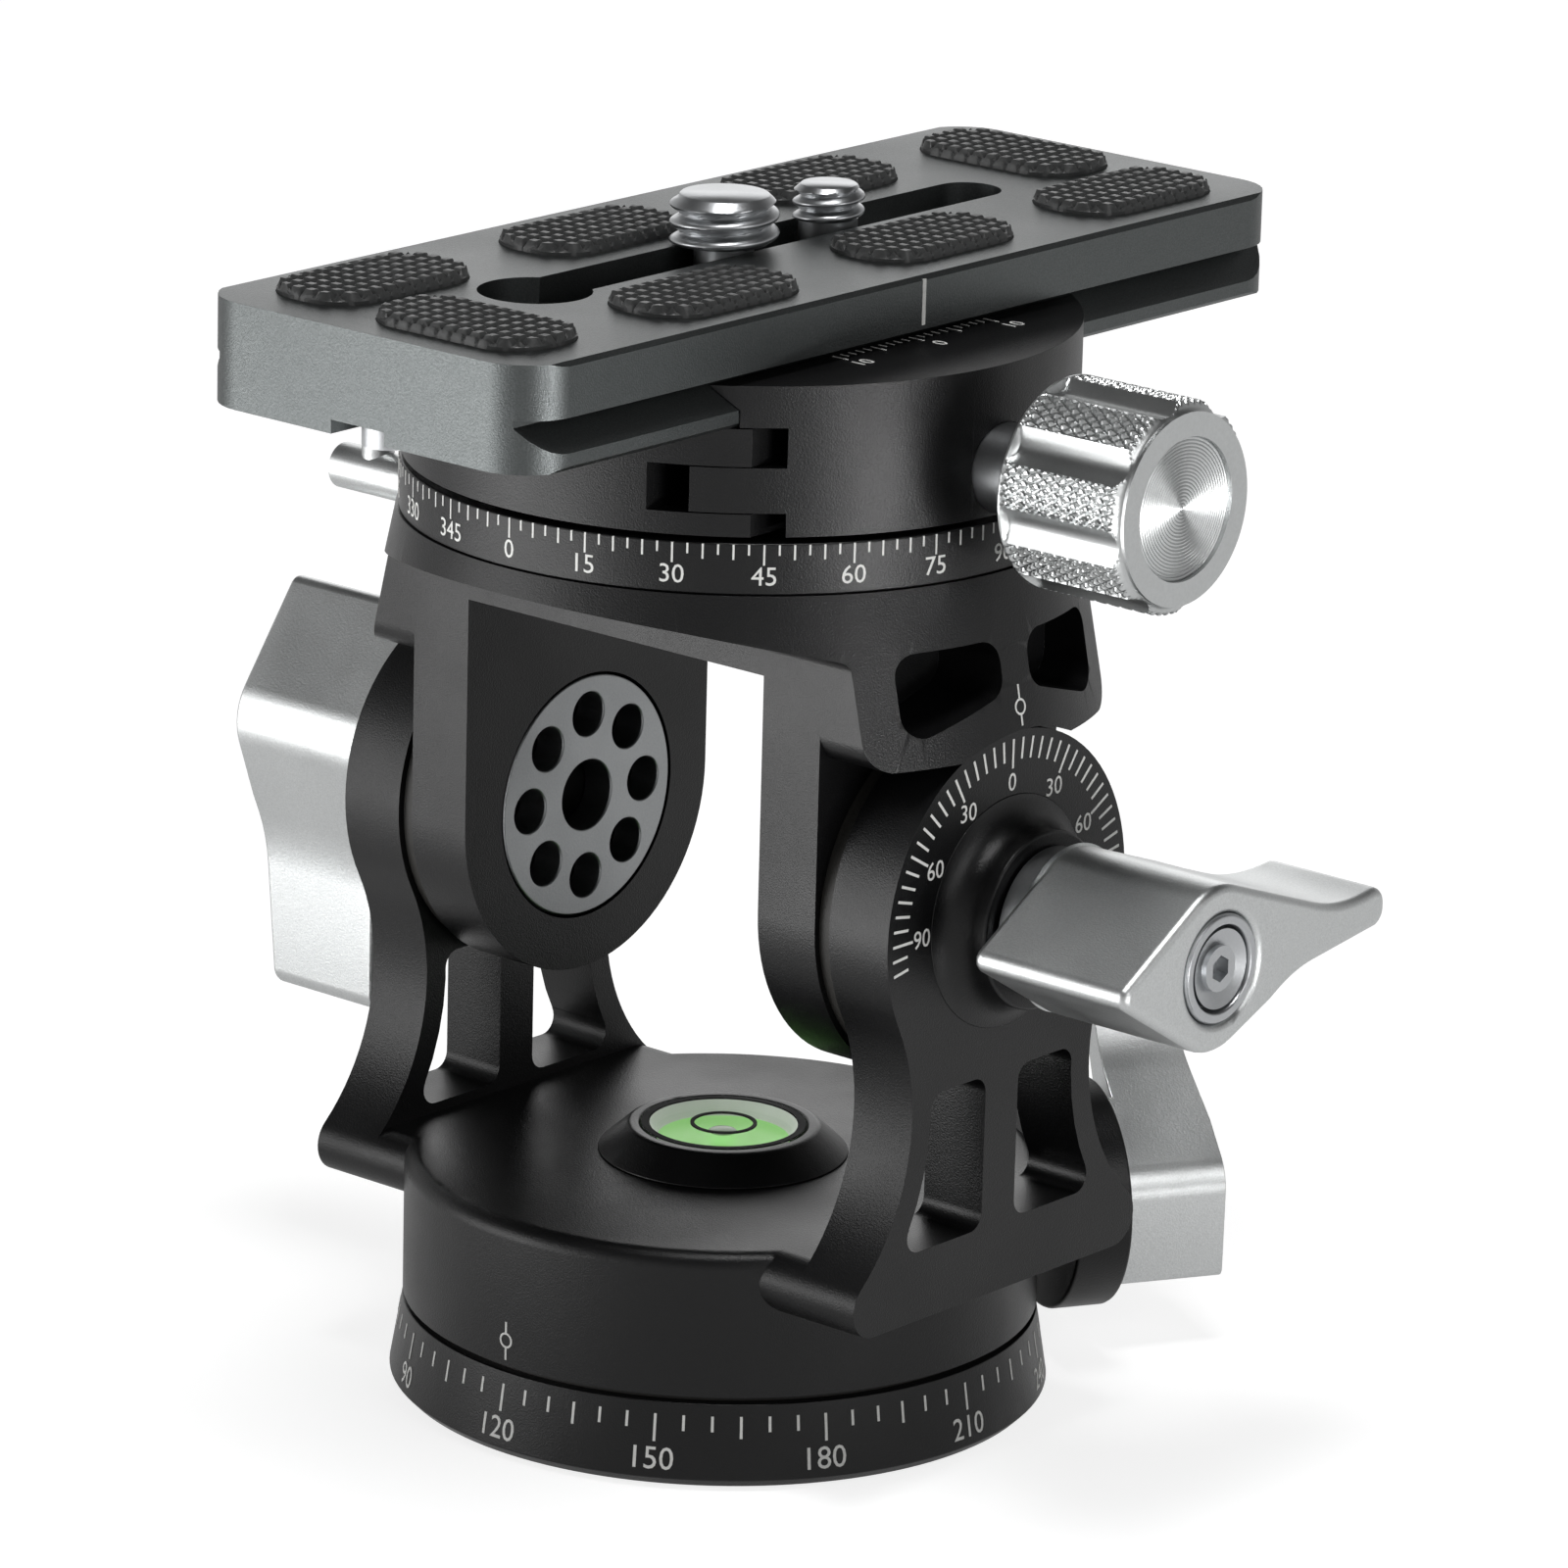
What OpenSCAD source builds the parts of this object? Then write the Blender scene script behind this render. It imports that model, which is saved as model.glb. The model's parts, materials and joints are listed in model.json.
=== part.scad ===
// Two-way pan tilt head with a panning quick-release clamp.
// Origin: centre of the base's underside. +Z up, +X along the tilt axis, -Y to the front.

/* [Base] */
// Largest radius of the base, at its foot
base_r = 29.4; // [28.5:0.1:34]
// Height of the base's graduated edge
base_h = 7.4; // [6:0.1:10]
// Bevel round the foot of the base
base_bevel = 0.8; // [0.2:0.1:1.5]
// Radius of the hub that the pan drum turns on
hub_r = 14; // [12:0.1:17]
// Depth of the retaining groove in the hub
groove_depth = 1.2; // [0.6:0.1:2]
// Radius of the steel tripod bush
bush_r = 8; // [6.5:0.1:9.5]
// Radius of the tripod socket's thread crest
socket_r = 3.97; // [2.5:0.01:4.5]
// Depth of the tripod socket
socket_depth = 10.5; // [6:0.5:11]
// Metal above the socket in the bush
bush_cap = 1.5; // [0.8:0.1:2]

/* [Pan drum] */
// Radius of the pan drum
drum_r = 28.3; // [27.6:0.1:29]
// Height of the drum's top face
drum_top_z = 21; // [20.5:0.1:24]
// Gap between base and drum, where the friction ring lies
pan_gap = 0.6; // [0.4:0.1:1]
// Rounding of the drum's top edge
drum_round = 1.5; // [0.5:0.1:2.5]
// Room between the hub's top and the drum's roof
hub_room = 0.3; // [0.2:0.05:0.6]
// Metal between the hub's room and the level's pocket
roof_t = 0.8; // [0.6:0.1:1.2]

/* [Level] */
// Radius of the level vial
vial_r = 7.45; // [6:0.05:8]
// Outer radius of the housing's upper rim
level_rim_r = 8.5; // [8.2:0.1:9.5]
// Radius of the housing's foot on the drum
level_foot_r = 11.3; // [10:0.1:13]
// Height of the housing above the drum
level_h = 2.5; // [1.5:0.1:4]
// Floor of the housing and wall of the vial
level_wall = 0.8; // [0.5:0.1:1]

/* [Cheeks] */
// Height of the tilt axis
tilt_z = 50.2; // [48:0.1:54]
// Radius of the graduated disc on each cheek
cheek_r = 16; // [14.5:0.1:17]
// Distance from the middle to a cheek's outer face
cheek_x = 31.5; // [31:0.1:34]
// Thickness of a cheek
cheek_t = 6.5; // [5.5:0.1:6.9]
// Half distance between the two round ends of a foot
foot_y = 16.4; // [15:0.1:18]
// Radius of a foot's round end
foot_r = 2.7; // [2:0.1:3.2]
// Radius of the hollow between disc and foot
waist_r = 18.5; // [16:0.1:22]
// Width of the strut between the two slots of a cheek
strut_w = 4.4; // [3:0.1:6]
// Wall outside each slot
slot_wall = 2.5; // [2:0.1:4]
// Height of the slots' lower edge above the drum
slot_rise = 0.9; // [0.5:0.1:2]
// Height of the slots' upper edge under the tilt axis
slot_drop = 14.4; // [13:0.1:16]
// Rounding of the slots' corners
slot_round = 1.5; // [0.5:0.1:2]

/* [Tilt joint] */
// Radius of the tilt studs
stud_r = 4; // [3:0.1:4.5]
// Length of a stud beyond its cheek
stud_reach = 11.5; // [8:0.1:12]
// Wall of the plain bushes in the cheeks
bush_wall = 2; // [1:0.1:3]
// Radius of a stud's flange
flange_r = 6; // [5:0.1:8]
// Thickness of a stud's flange
flange_t = 1.4; // [1:0.1:1.8]
// Radius of a leg's disc
disc_r = 11; // [9:0.1:12.5]
// Gap round a leg's disc
disc_gap = 0.25; // [0.1:0.05:0.5]
// Thickness of a leg's disc
disc_t = 3.2; // [2:0.1:3.6]
// Radius of the middle hole in a disc
disc_eye_r = 3.2; // [2:0.1:3.6]
// Radius of the eight small holes in a disc
disc_hole_r = 2; // [1:0.1:2.2]
// Pitch radius of the eight small holes
disc_pitch_r = 7.5; // [7:0.1:8]
// Radius of the friction discs between legs and cheeks
friction_r = 15.4; // [12:0.1:15.7]
// Radius of a collar at its foot
collar_foot_r = 10.5; // [9:0.1:12]
// Radius of a collar at its lever
collar_r = 7.9; // [7.5:0.1:8.5]
// Length of a collar
collar_l = 4; // [3:0.1:5]

/* [Yoke] */
// Distance from the middle to a leg's inner face
leg_x = 17; // [15:0.1:17.5]
// Thickness of a leg
leg_t = 6.4; // [5.5:0.1:6.8]
// Half width of a leg and radius of its round end
leg_r = 16; // [14.5:0.1:17]
// Height of the yoke's flat top
yoke_top_z = 80; // [79:0.1:82]
// Radius of the yoke at its top
yoke_r = 29.8; // [29:0.1:31]
// Radius that the yoke gains per millimetre of fall
yoke_flare = 0.2; // [0.1:0.01:0.24]
// Height of the skirts' lower edge above the tilt axis
skirt_rise = 14.7; // [13.5:0.1:15.5]
// Half width of the skirts outside the legs
skirt_half = 16; // [14:0.1:17]
// Rounding of the skirts' lower corners
skirt_round = 2.5; // [1:0.1:4]
// Height of the yoke's underside between the legs
under_z = 71.3; // [70:0.1:72]
// Height of the overhang's edge at the legs' faces
brow_z = 74.2; // [73:0.1:74.5]
// Height of the overhang's edge at the rim
rim_z = 78.6; // [78:0.1:79]
// Distance of the overhang's bend past the middle of its reach
brow_out = 1.5; // [0:0.1:3]
// Rise of the overhang's under side up to that bend
brow_rise = 2.6; // [2:0.1:3]
// Radius of that bend
brow_round = 8; // [4:0.5:10]
// Clear ring between the cheeks' discs and the skirts' arches
arch_gap = 0.35; // [0.3:0.05:0.8]
// Distance from the middle to a window's near edge
window_in = 1.8; // [1.2:0.1:3]
// Distance from the middle to a window's far edge
window_out = 12.6; // [10:0.1:13]
// Height of the windows' upper edge
window_top_z = 74.6; // [74:0.1:76]
// Height of a window's lower edge at the near side
window_near_z = 70; // [69:0.1:71]
// Height of a window's lower edge at the far side
window_far_z = 66.8; // [66:0.1:68]
// Metal between the windows and the cheeks' room
window_wall = 1; // [0.6:0.1:2]
// Rounding of the windows' corners
window_round = 2; // [1:0.1:2.3]

/* [Top pan] */
// Radius of the spindle under the clamp
spindle_r = 12; // [10:0.1:13]
// Radius of the spindle's threaded neck
neck_r = 5; // [4:0.1:6]
// Radius of the keeper plate under the yoke
keeper_r = 8.2; // [7:0.1:9.5]
// Thickness of the keeper plate
keeper_t = 1.2; // [1:0.1:1.5]
// Radius of the keeper bolt's thread
keeper_bolt_r = 2.5; // [2:0.1:3]
// Radius of the keeper bolt's countersunk head
keeper_head_r = 3.6; // [3.2:0.1:3.6]
// Length of the keeper bolt in the spindle
keeper_bolt_l = 7; // [5:0.5:8]
// Thickness of the yoke's floor under the spindle
floor_t = 1.9; // [1.2:0.1:2.2]
// Metal left under the spindle's screws
spindle_screw_floor = 3; // [2:0.1:4]
// Depth of the spindle in the clamp
spindle_sink = 0.6; // [0.3:0.1:0.8]
// Distance that the graduated ring stands out from the clamp
ring_step = 0.2; // [0:0.1:1]
// Height of the graduated ring
ring_h = 4.5; // [4:0.1:6]
// Radius of the yoke's seat inside the graduated ring
seat_r = 22; // [20:0.1:24]
// Height of the graduated ring above the yoke's seat
seat_drop = 1; // [0.5:0.1:1.5]
// Gap between the graduated ring and the clamp
clamp_gap = 0.5; // [0.3:0.1:0.8]

/* [Clamp] */
// Radius of the round clamp
clamp_r = 29.4; // [28.5:0.1:29.8]
// Height of the clamp from its underside to its top
clamp_h = 13; // [12.6:0.1:13.4]
// Distance from the clamp's top down to the channel's floor
channel_depth = 3.7; // [3.3:0.1:4]
// Distance from the middle to the clamp body's cut side
cut_x = 19.9; // [19:0.1:20.5]
// Gap between the clamp body's cut side and the jaw at rest
jaw_gap = 2.1; // [1:0.1:2.8]
// Depth of the slot for the jaw's tongue
tongue_slot = 7.3; // [6:0.1:8]
// Length of the jaw's tongue
tongue_l = 6.2; // [4:0.1:7]
// Thickness of the jaw's tongue
tongue_t = 3.9; // [3:0.1:4.5]
// Height of the tongue's middle above the clamp's underside
tongue_rise = 4; // [3.8:0.1:4.4]
// Radius of the jaw's guide pins
pin_r = 1.5; // [1:0.1:1.7]
// Distance of a guide pin from the middle
pin_y = 13; // [10:0.1:15]
// Length of a guide pin
pin_l = 16; // [10:0.5:20]
// Radius of the spindle screws
spindle_screw_r = 1.6; // [1:0.1:2]
// Pitch radius of the four spindle screws
spindle_pitch_r = 8; // [7.8:0.1:9]

/* [Clamp knob] */
// Radius of the knob
knob_r = 9.2; // [8:0.1:10]
// Distance from the middle to the knob's near end
knob_x = 36; // [35:0.1:39]
// Length of the knob
knob_l = 13; // [10:0.1:16]
// Chamfer round the knob's outer end
knob_chamfer = 1.2; // [0.5:0.1:2]
// Bevel round the knob's inner end
knob_bevel = 0.6; // [0.3:0.1:1]
// Radius of the shallow dish in the knob's end
knob_cap_r = 6.2; // [5:0.1:7]
// Depth of the shallow dish in the knob's end
dish_depth = 0.4; // [0.2:0.1:0.8]
// Depth of the clamp screw in the knob
knob_grip = 10; // [6:0.5:11]
// Depth of the stem's end in the knob
stem_sink = 0.5; // [0.3:0.1:1]
// Depth of the stem's spot face in the jaw
spot_depth = 0.4; // [0.2:0.1:0.8]
// Radius of the stem between clamp and knob
stem_r = 3.9; // [3.3:0.1:3.95]
// Radius of the clamp screw's thread
clamp_screw_r = 3; // [2.5:0.1:3]
// Depth of the clamp screw in the clamp body
clamp_screw_reach = 8; // [5:0.5:9]

/* [Plate] */
// Width of the quick-release plate
plate_w = 38; // [36:0.1:40]
// Length of the quick-release plate
plate_l = 100; // [80:1:130]
// Thickness of the quick-release plate
plate_t = 9.2; // [8.5:0.1:10]
// Thickness of the plate's upper slab
slab_t = 4.7; // [4:0.1:5]
// Height of the flange's upright edge
flange_h = 1.5; // [1:0.1:1.8]
// Depth of the groove along the plate's sides
side_groove = 2.4; // [1.5:0.1:2.4]
// Bevel along the plate's edges
plate_edge = 0.4; // [0.2:0.1:0.8]
// Radius of the plate's corners
plate_round = 5; // [3:0.1:8]
// Place of the plate's middle along the channel at rest
plate_y = 1.6; // [-5:0.1:5]
// Width of the screw slot
slot_w = 6; // [5.8:0.1:7]
// Distance from the plate's end to the centre of the slot's end
slot_end = 21.5; // [18:0.5:26]
// Radius of the slot's wide end
keyhole_r = 4.9; // [4.8:0.1:5.2]
// Width of the recess for the screws' heads
recess_w = 13.6; // [13.2:0.1:15]
// Height of the recess for the screws' heads
recess_h = 4; // [3.5:0.1:4.3]
// Width of the shallow groove along the plate's underside
keel_w = 6; // [5:0.1:8]
// Depth of the shallow groove along the plate's underside
keel_h = 1.2; // [0.8:0.1:1.5]

/* [Grip pads] */
// Length of a grip pad
pad_l = 18; // [14:0.5:19]
// Width of a grip pad
pad_w = 10; // [8:0.5:11]
// Rounding of a grip pad's corners
pad_round = 4; // [2:0.1:4.5]
// Depth of a grip pad in the plate
pad_sink = 0.6; // [0.3:0.1:1]
// Height of a grip pad over the plate
pad_rise = 1; // [0.5:0.1:1.3]
// Distance of a corner pad from the plate's middle line
corner_pad_x = 11; // [10:0.1:12]
// Distance of a corner pad's centre from the plate's end
corner_pad_end = 13.4; // [11:0.1:15]
// Distance of a cross pad from the plate's middle line
cross_pad_x = 5.8; // [5:0.1:7]
// Distance of a cross pad's centre from the plate's end
cross_pad_end = 8; // [7:0.1:9]
// Distance of a middle pad from the plate's middle line
middle_pad_x = 10.6; // [10:0.1:12]
// Distance of a middle pad from the plate's middle along its length
middle_pad_y = 9.5; // [9:0.1:9.9]
// Distance of a side pad from the plate's middle line
side_pad_x = 11.2; // [10:0.1:12]
// Distance of a side pad from the plate's middle along its length
side_pad_y = 19.8; // [19.2:0.1:21]

/* [Camera screws] */
// Radius of the large camera screw's thread
large_r = 4.7625; // [4.7:0.0025:4.8]
// Radius of the small camera screw's thread
small_r = 3.175; // [3.1:0.0025:3.2]
// Height of the large screw over the plate
large_rise = 4.7; // [3:0.1:8]
// Height of the small screw over the plate
small_rise = 3.5; // [3:0.1:8]
// Gap between the plate and the threads
screw_gap = 0.5; // [0.3:0.1:1]
// Radius of the screws' necks in the slot
screw_neck_r = 2.6; // [2:0.1:2.8]
// Radius of the screws' heads
screw_head_r = 6.4; // [5:0.1:6.5]
// Height of the screws' heads
screw_head_h = 2.8; // [2:0.1:2.9]
// Thickness of the washers over the screws' heads
screw_washer_t = 0.6; // [0.4:0.1:0.8]
// Outer radius of the washers over the screws' heads
screw_washer_r = 5.6; // [4:0.1:6.2]
// Width of the driver slot in a screw's head
driver_w = 1.6; // [1:0.1:2]
// Depth of the driver slot in a screw's head
driver_d = 1.2; // [0.8:0.1:1.6]
// Place of the large screw along the channel
large_y = -2.8; // [-6:0.1:-2.5]
// Place of the small screw along the channel
small_y = 11; // [10.8:0.1:15]
// Distance of the stop screws from the plate's middle
stop_y = 46; // [42:0.5:47]
// Radius of the stop screws' heads
stop_r = 2.4; // [1.5:0.1:2.8]
// Height of the stop screws' heads under the plate
stop_rise = 1; // [0.5:0.1:1.5]

/* [Levers] */
// Length of a lever's pointed end
lever_tip = 14.2; // [11:0.1:16]
// Length of a lever's tail
lever_tail = 25; // [18:0.1:26]
// Fall of a lever's outer face at the end of its tail
lever_fall = 1.6; // [0.5:0.1:3]
// Distance from the axis where a lever's outer face begins to fall
lever_fall_y = 7; // [6:0.1:10]
// Half height of a lever's hub before rounding
lever_hub = 8; // [7.5:0.1:9]
// Set-back of a lever's highest line from the axis
lever_hub_y = 1; // [0:0.1:2]
// Half thickness of a lever's tail
lever_tail_t = 1.8; // [1.7:0.1:2.4]
// Distance from the axis where the under side of a lever's tail begins
lever_waist = 11; // [10:0.1:14]
// Half thickness of a tail where its under side begins
lever_waist_t = 2.8; // [2.4:0.1:3.2]
// Rounding where the under side of a tail begins
lever_waist_round = 16; // [8:0.5:18]
// Distance from the axis of the hollow in a lever's upper side
lever_hollow = 18; // [16:0.1:19]
// Half thickness of a tail at that hollow
lever_hollow_t = 1.2; // [1:0.1:1.5]
// Radius of that hollow
lever_hollow_round = 20; // [12:0.5:22]
// Rounding over a lever's hub
lever_hub_round = 6; // [4:0.1:7]
// Rounding of a lever's pointed end
lever_tip_round = 1.2; // [0.8:0.1:2]
// Rounding of the end of a lever's tail
lever_end_round = 1.6; // [1:0.1:1.7]
// Distance from the axis where a tail's back steps in
lever_step_y = 11.5; // [10:0.1:14]
// Distance from the middle to a tilt lever's back
lever_x = 38.35; // [37.8:0.05:40]
// Distance from the middle to the left tilt lever's back
left_lever_x = 37.2; // [36.2:0.05:40]
// Depth of a tilt lever
lever_depth = 16.45; // [13:0.05:18]
// Depth of the threaded insert in a tilt lever
insert_depth = 9; // [8:0.1:10]
// Set-back of the tail's back face on a tilt lever
tail_step = 2.7; // [1:0.1:4]
// Size of the pan lock lever against a tilt lever
small_lever = 0.68; // [0.6:0.01:0.8]
// Radius of a tilt lever's threaded insert
insert_r = 6.6; // [6:0.1:7]
// Radius of the recess for a lever's cup washer
cup_r = 4.8; // [4:0.1:5]
// Depth of the recess for a lever's cup washer
cup_depth = 2.4; // [1.5:0.1:3]
// Radius of a lever screw's head
lever_head_r = 3.5; // [2.8:0.1:3.6]
// Radius of the raised middle of a lever screw's head
lever_boss_r = 2; // [1.6:0.1:2.4]
// Depth of the hollow ring in a lever screw's head
lever_ring_depth = 0.5; // [0.2:0.1:0.8]
// Radius of a lever screw's shank
lever_screw_r = 2; // [1.5:0.1:2.5]
// Radius of the key socket in a lever screw
lever_key_r = 1.2; // [1:0.1:1.5]
// Length of a lever screw in its insert
lever_screw_grip = 2.2; // [1.5:0.1:3]
// Thickness of a cup washer under the screw's head
cup_seat = 1; // [0.6:0.1:1.4]
// Bevel round a cup washer
cup_edge = 0.2; // [0.1:0.05:0.4]
// Radius where a cup washer's flat rim ends
cup_rim_r = 3.9; // [3.7:0.1:4.2]
// Turn of the left tilt lever from level, in degrees
left_turn = -94; // [-120:1:-70]

/* [Pan lock] */
// Height of the pan lock's axis
lock_z = 14; // [13.8:0.1:14.5]
// Direction of the pan lock from +X towards +Y, in degrees
lock_angle = 60; // [50:1:70]
// Radius of the pan lock's boss on the drum
lock_boss_r = 5.4; // [5:0.1:5.6]
// Distance that the boss stands out from the drum
lock_boss_reach = 2; // [1.7:0.1:3.7]
// Depth of the boss's root in the drum
lock_boss_root = 3; // [2:0.1:4]
// Radius of the pan lock's collar
lock_collar_r = 10.4; // [8:0.1:10.8]
// Length of the pan lock's collar
lock_collar_l = 5.1; // [3:0.1:6]
// Radius of the pan lock's stud
lock_stud_r = 3; // [2.5:0.1:3.2]
// Radius of the pan lock's brass shoe
shoe_r = 2.1; // [1.5:0.1:2.2]
// Length of each brass shoe outside its hub or spindle
shoe_l = 3; // [2:0.1:5]
// Gap between the pan lock's collar and its lever
lock_lever_gap = 0.5; // [0.3:0.1:4]
// Depth of the pan lock lever
lock_lever_depth = 10.6; // [8:0.1:12]
// Depth of the stud in the pan lock lever
lock_insert_depth = 5; // [4:0.1:6]
// Turn of the pan lock lever from level, in degrees
lock_turn = 60; // [30:1:90]
// Directions of the two retainer screws, in degrees
retainer_angles = [120, 200]; // [100:1:220]
// Radius of the retainer screws
retainer_r = 1.9; // [1.5:0.1:2.1]
// Length of the retainer screws in the drum
retainer_l = 6; // [4:0.5:10]
// Room beside the retainer screws in the hub's groove
groove_room = 0.5; // [0.3:0.1:0.8]

/* [Top lock] */
// Height of the top lock screw's axis
top_lock_z = 75; // [74.8:0.1:75.8]
// Radius of the top lock screw's handle
top_lock_r = 2.1; // [1.8:0.1:2.2]
// Distance from the middle to the handle's end
top_lock_x = 47.2; // [44:0.1:52]
// Radius of the top lock screw's thread
top_thread_r = 1.9; // [1.5:0.1:2]
// Distance of the cross peg from the handle's end
peg_back = 4.2; // [3:0.1:6]
// Radius of the cross peg
peg_r = 1.5; // [1:0.1:1.8]
// Height of the cross peg over the handle's axis
peg_rise = 3.8; // [2.5:0.1:4]

/* [Clearances] */
// Radial clearance of a running fit
run = 0.05; // [0.01:0.01:0.1]
// Clearance between faces that slide on each other
slide = 0.05; // [0.02:0.01:0.2]
// Clearance between plate and channel
plate_play = 0.1; // [0.05:0.05:0.15]
// Clear gap between turning faces that do not touch
clear = 0.3; // [0.2:0.05:0.5]

/* [Hidden] */
$fn = 96;

// Base and pan drum
pan_z = base_h + pan_gap;
bush_h = socket_depth + bush_cap;
pocket_z = drum_top_z - level_h - level_wall;
hub_top_z = pocket_z - roof_t - hub_room;
groove_half = retainer_r + groove_room;
groove_r = hub_r - groove_depth;
drum_hub_r = hub_r + run;
lock_tip_x = groove_r + clear;
// Level
vial_top_z = drum_top_z + level_h;
cup_floor_z = pocket_z + level_wall;
pocket_r = vial_r + 2 * level_wall;
// Cheeks and tilt joint
cheek_in = cheek_x - cheek_t;
foot_z = drum_top_z - foot_r;
leg_out = leg_x + leg_t;
disc_floor = leg_x + disc_t;
stud_end = cheek_x + stud_reach;
collar_end = cheek_x + collar_l;
cheek_bore_r = stud_r + run + bush_wall;
// Yoke
skirt_z = tilt_z + skirt_rise;
skirt_r = yoke_r + (yoke_top_z - skirt_z) * yoke_flare;
ring_top_z = yoke_top_z + ring_h;
seat_top_z = ring_top_z - seat_drop;
window_floor = leg_out + window_wall;
// Clamp
clamp_z = ring_top_z + clamp_gap;
clamp_top_z = clamp_z + clamp_h;
channel_z = clamp_top_z - channel_depth;
tongue_z = clamp_z + tongue_rise;
jaw_x = cut_x + jaw_gap;
spindle_top_z = clamp_z + spindle_sink;
spindle_foot_z = under_z + floor_t + clear;
keeper_z = under_z - slide - keeper_t;
spot_x = clamp_r - spot_depth;
ring_r = clamp_r + ring_step;
stem_end = knob_x + stem_sink;
knob_screw_end = knob_x + knob_grip;
knob_end = knob_x + knob_l;
// Plate and camera screws
plate_z = channel_z + plate_play;
plate_top_z = plate_z + plate_t;
slab_z = plate_top_z - slab_t;
plate_half = plate_w / 2;
neck_x = plate_half - side_groove;
slope_z = plate_z + flange_h;
recess_top_z = plate_z + recess_h;
head_z = recess_top_z - screw_washer_t - 2 * slide - screw_head_h;
slot_half = plate_l / 2 - slot_end;
corner_pad_y = plate_l / 2 - corner_pad_end;
cross_pad_y = plate_l / 2 - cross_pad_end;
half_pads = [
    [-corner_pad_x, -corner_pad_y, 0], [cross_pad_x, -cross_pad_y, 90],
    [-middle_pad_x, -middle_pad_y, 0], [side_pad_x, -side_pad_y, 0]
];
// Place and turn of each pad; the second four repeat the first by a half turn of the plate
pads = concat(half_pads, [for (p = half_pads) [-p.x, -p.y, p.z]]);
// Levers
lever_front = lever_x + lever_depth;
left_lever_front = left_lever_x + lever_depth;
lock_boss_x = drum_r + lock_boss_reach;
lock_collar_end = lock_boss_x + lock_collar_l;
lock_lever_x = lock_collar_end + lock_lever_gap;
lock_nest_x = lock_lever_x + lock_insert_depth;
lock_lever_front = lock_lever_x + lock_lever_depth;

// Points of an arc about c from angle a to angle b
function arc(c, r, a, b, n = 8) = [for (i = [0:n]) c + r * [cos(a + (b - a) * i / n), sin(a + (b - a) * i / n)]];
function unit(v) = v / norm(v);
// Arc that rounds the corner p between its neighbours, each [x, y, radius]
function corner(before, p, after, n) =
    let (o = [p.x, p.y], u = unit([before.x, before.y] - o), v = unit([after.x, after.y] - o))
    let (half = acos(u * v) / 2, c = o + unit(u + v) * p.z / sin(half))
    let (s = o + u * p.z / tan(half) - c, e = o + v * p.z / tan(half) - c)
    let (a = atan2(s.y, s.x), turn = atan2(s.x * e.y - s.y * e.x, s * e))
    p.z == 0 ? [o] : arc(c, p.z, a, a + turn, n);
// Outline through [x, y, radius] points, each corner rounded by its own radius
function outline(p, n = 8) =
    let (k = len(p)) [for (i = [0:k - 1]) each corner(p[(i + k - 1) % k], p[i], p[(i + 1) % k], n)];
// Centre of a circle of radius r that touches two circles, on the side away from x = 0
function touching(c1, r1, c2, r2, r) =
    let (d = norm(c2 - c1), u = unit(c2 - c1), a = (pow(r1 + r, 2) - pow(r2 + r, 2) + d * d) / (2 * d))
    c1 + u * a + [-u.y, u.x] * sqrt(pow(r1 + r, 2) - a * a);
function yoke_cone_r(z) = yoke_r + (yoke_top_z - z) * yoke_flare;

// Extrudes a (y, z) shape along X
module along_x(from, to) {
    translate([from, 0, 0]) rotate([90, 0, 90]) linear_extrude(to - from) children();
}
// Extrudes an (x, z) shape along Y
module along_y(from, to) {
    translate([0, to, 0]) rotate([90, 0, 0]) linear_extrude(to - from) children();
}
module rod_x(r, from, to) {
    translate([from, 0, 0]) rotate([0, 90, 0]) cylinder(r = r, h = to - from);
}
// Turns an (r, x) outline about the X axis
module turned_x(points) {
    rotate([0, 90, 0]) rotate_extrude() polygon(points);
}
module disc_z(r, from, to) {
    translate([0, 0, from]) cylinder(r = r, h = to - from);
}
module ring_z(inner, outer, from, to) {
    translate([0, 0, from]) rotate_extrude() translate([inner, 0]) square([outer - inner, to - from]);
}
module on_tilt_axis() {
    translate([0, 0, tilt_z]) children();
}
module on_left() {
    mirror([1, 0, 0]) children();
}
module on_left_lever() {
    on_tilt_axis() rotate([left_turn, 0, 0]) on_left() children();
}
module on_lock_axis(turn = 0) {
    translate([0, 0, lock_z]) rotate([0, 0, lock_angle]) rotate([turn, 0, 0]) children();
}
module hex_socket(r, depth) {
    rotate([0, 90, 0]) cylinder(r = r, h = depth, $fn = 6);
}

// Base: fixed to the tripod
module base_ring() {
    color("#1d1d1e") rotate_extrude() polygon([
        [0, bush_h], [bush_r, bush_h], [bush_r, 0],
        [base_r - base_bevel, 0], [base_r, base_bevel], [drum_r, base_h],
        [hub_r, base_h], [hub_r, lock_z - groove_half], [groove_r, lock_z - groove_half],
        [groove_r, lock_z + groove_half], [hub_r, lock_z + groove_half], [hub_r, hub_top_z], [0, hub_top_z]
    ]);
}
module tripod_bush() {
    color("#b9bbbd") difference() {
        disc_z(bush_r, 0, bush_h);
        disc_z(socket_r, -1, socket_depth);
    }
}
module pan_friction_ring() {
    color("#2b2b2c") ring_z(hub_r + clear, drum_r - 1, base_h, pan_z - slide);
}

// Pan body: turns on the base
module drum() {
    rotate_extrude() difference() {
        union() {
            translate([0, pan_z]) square([drum_r, drum_top_z - drum_round - pan_z]);
            translate([0, pan_z]) square([drum_r - drum_round, drum_top_z - pan_z]);
            translate([drum_r - drum_round, drum_top_z - drum_round]) circle(drum_round);
        }
        translate([-1, pan_z - 1]) square([drum_hub_r + 1, hub_top_z + hub_room - pan_z + 1]);
        translate([-1, pocket_z]) square([pocket_r + 1, drum_top_z]);
    }
}
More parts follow.
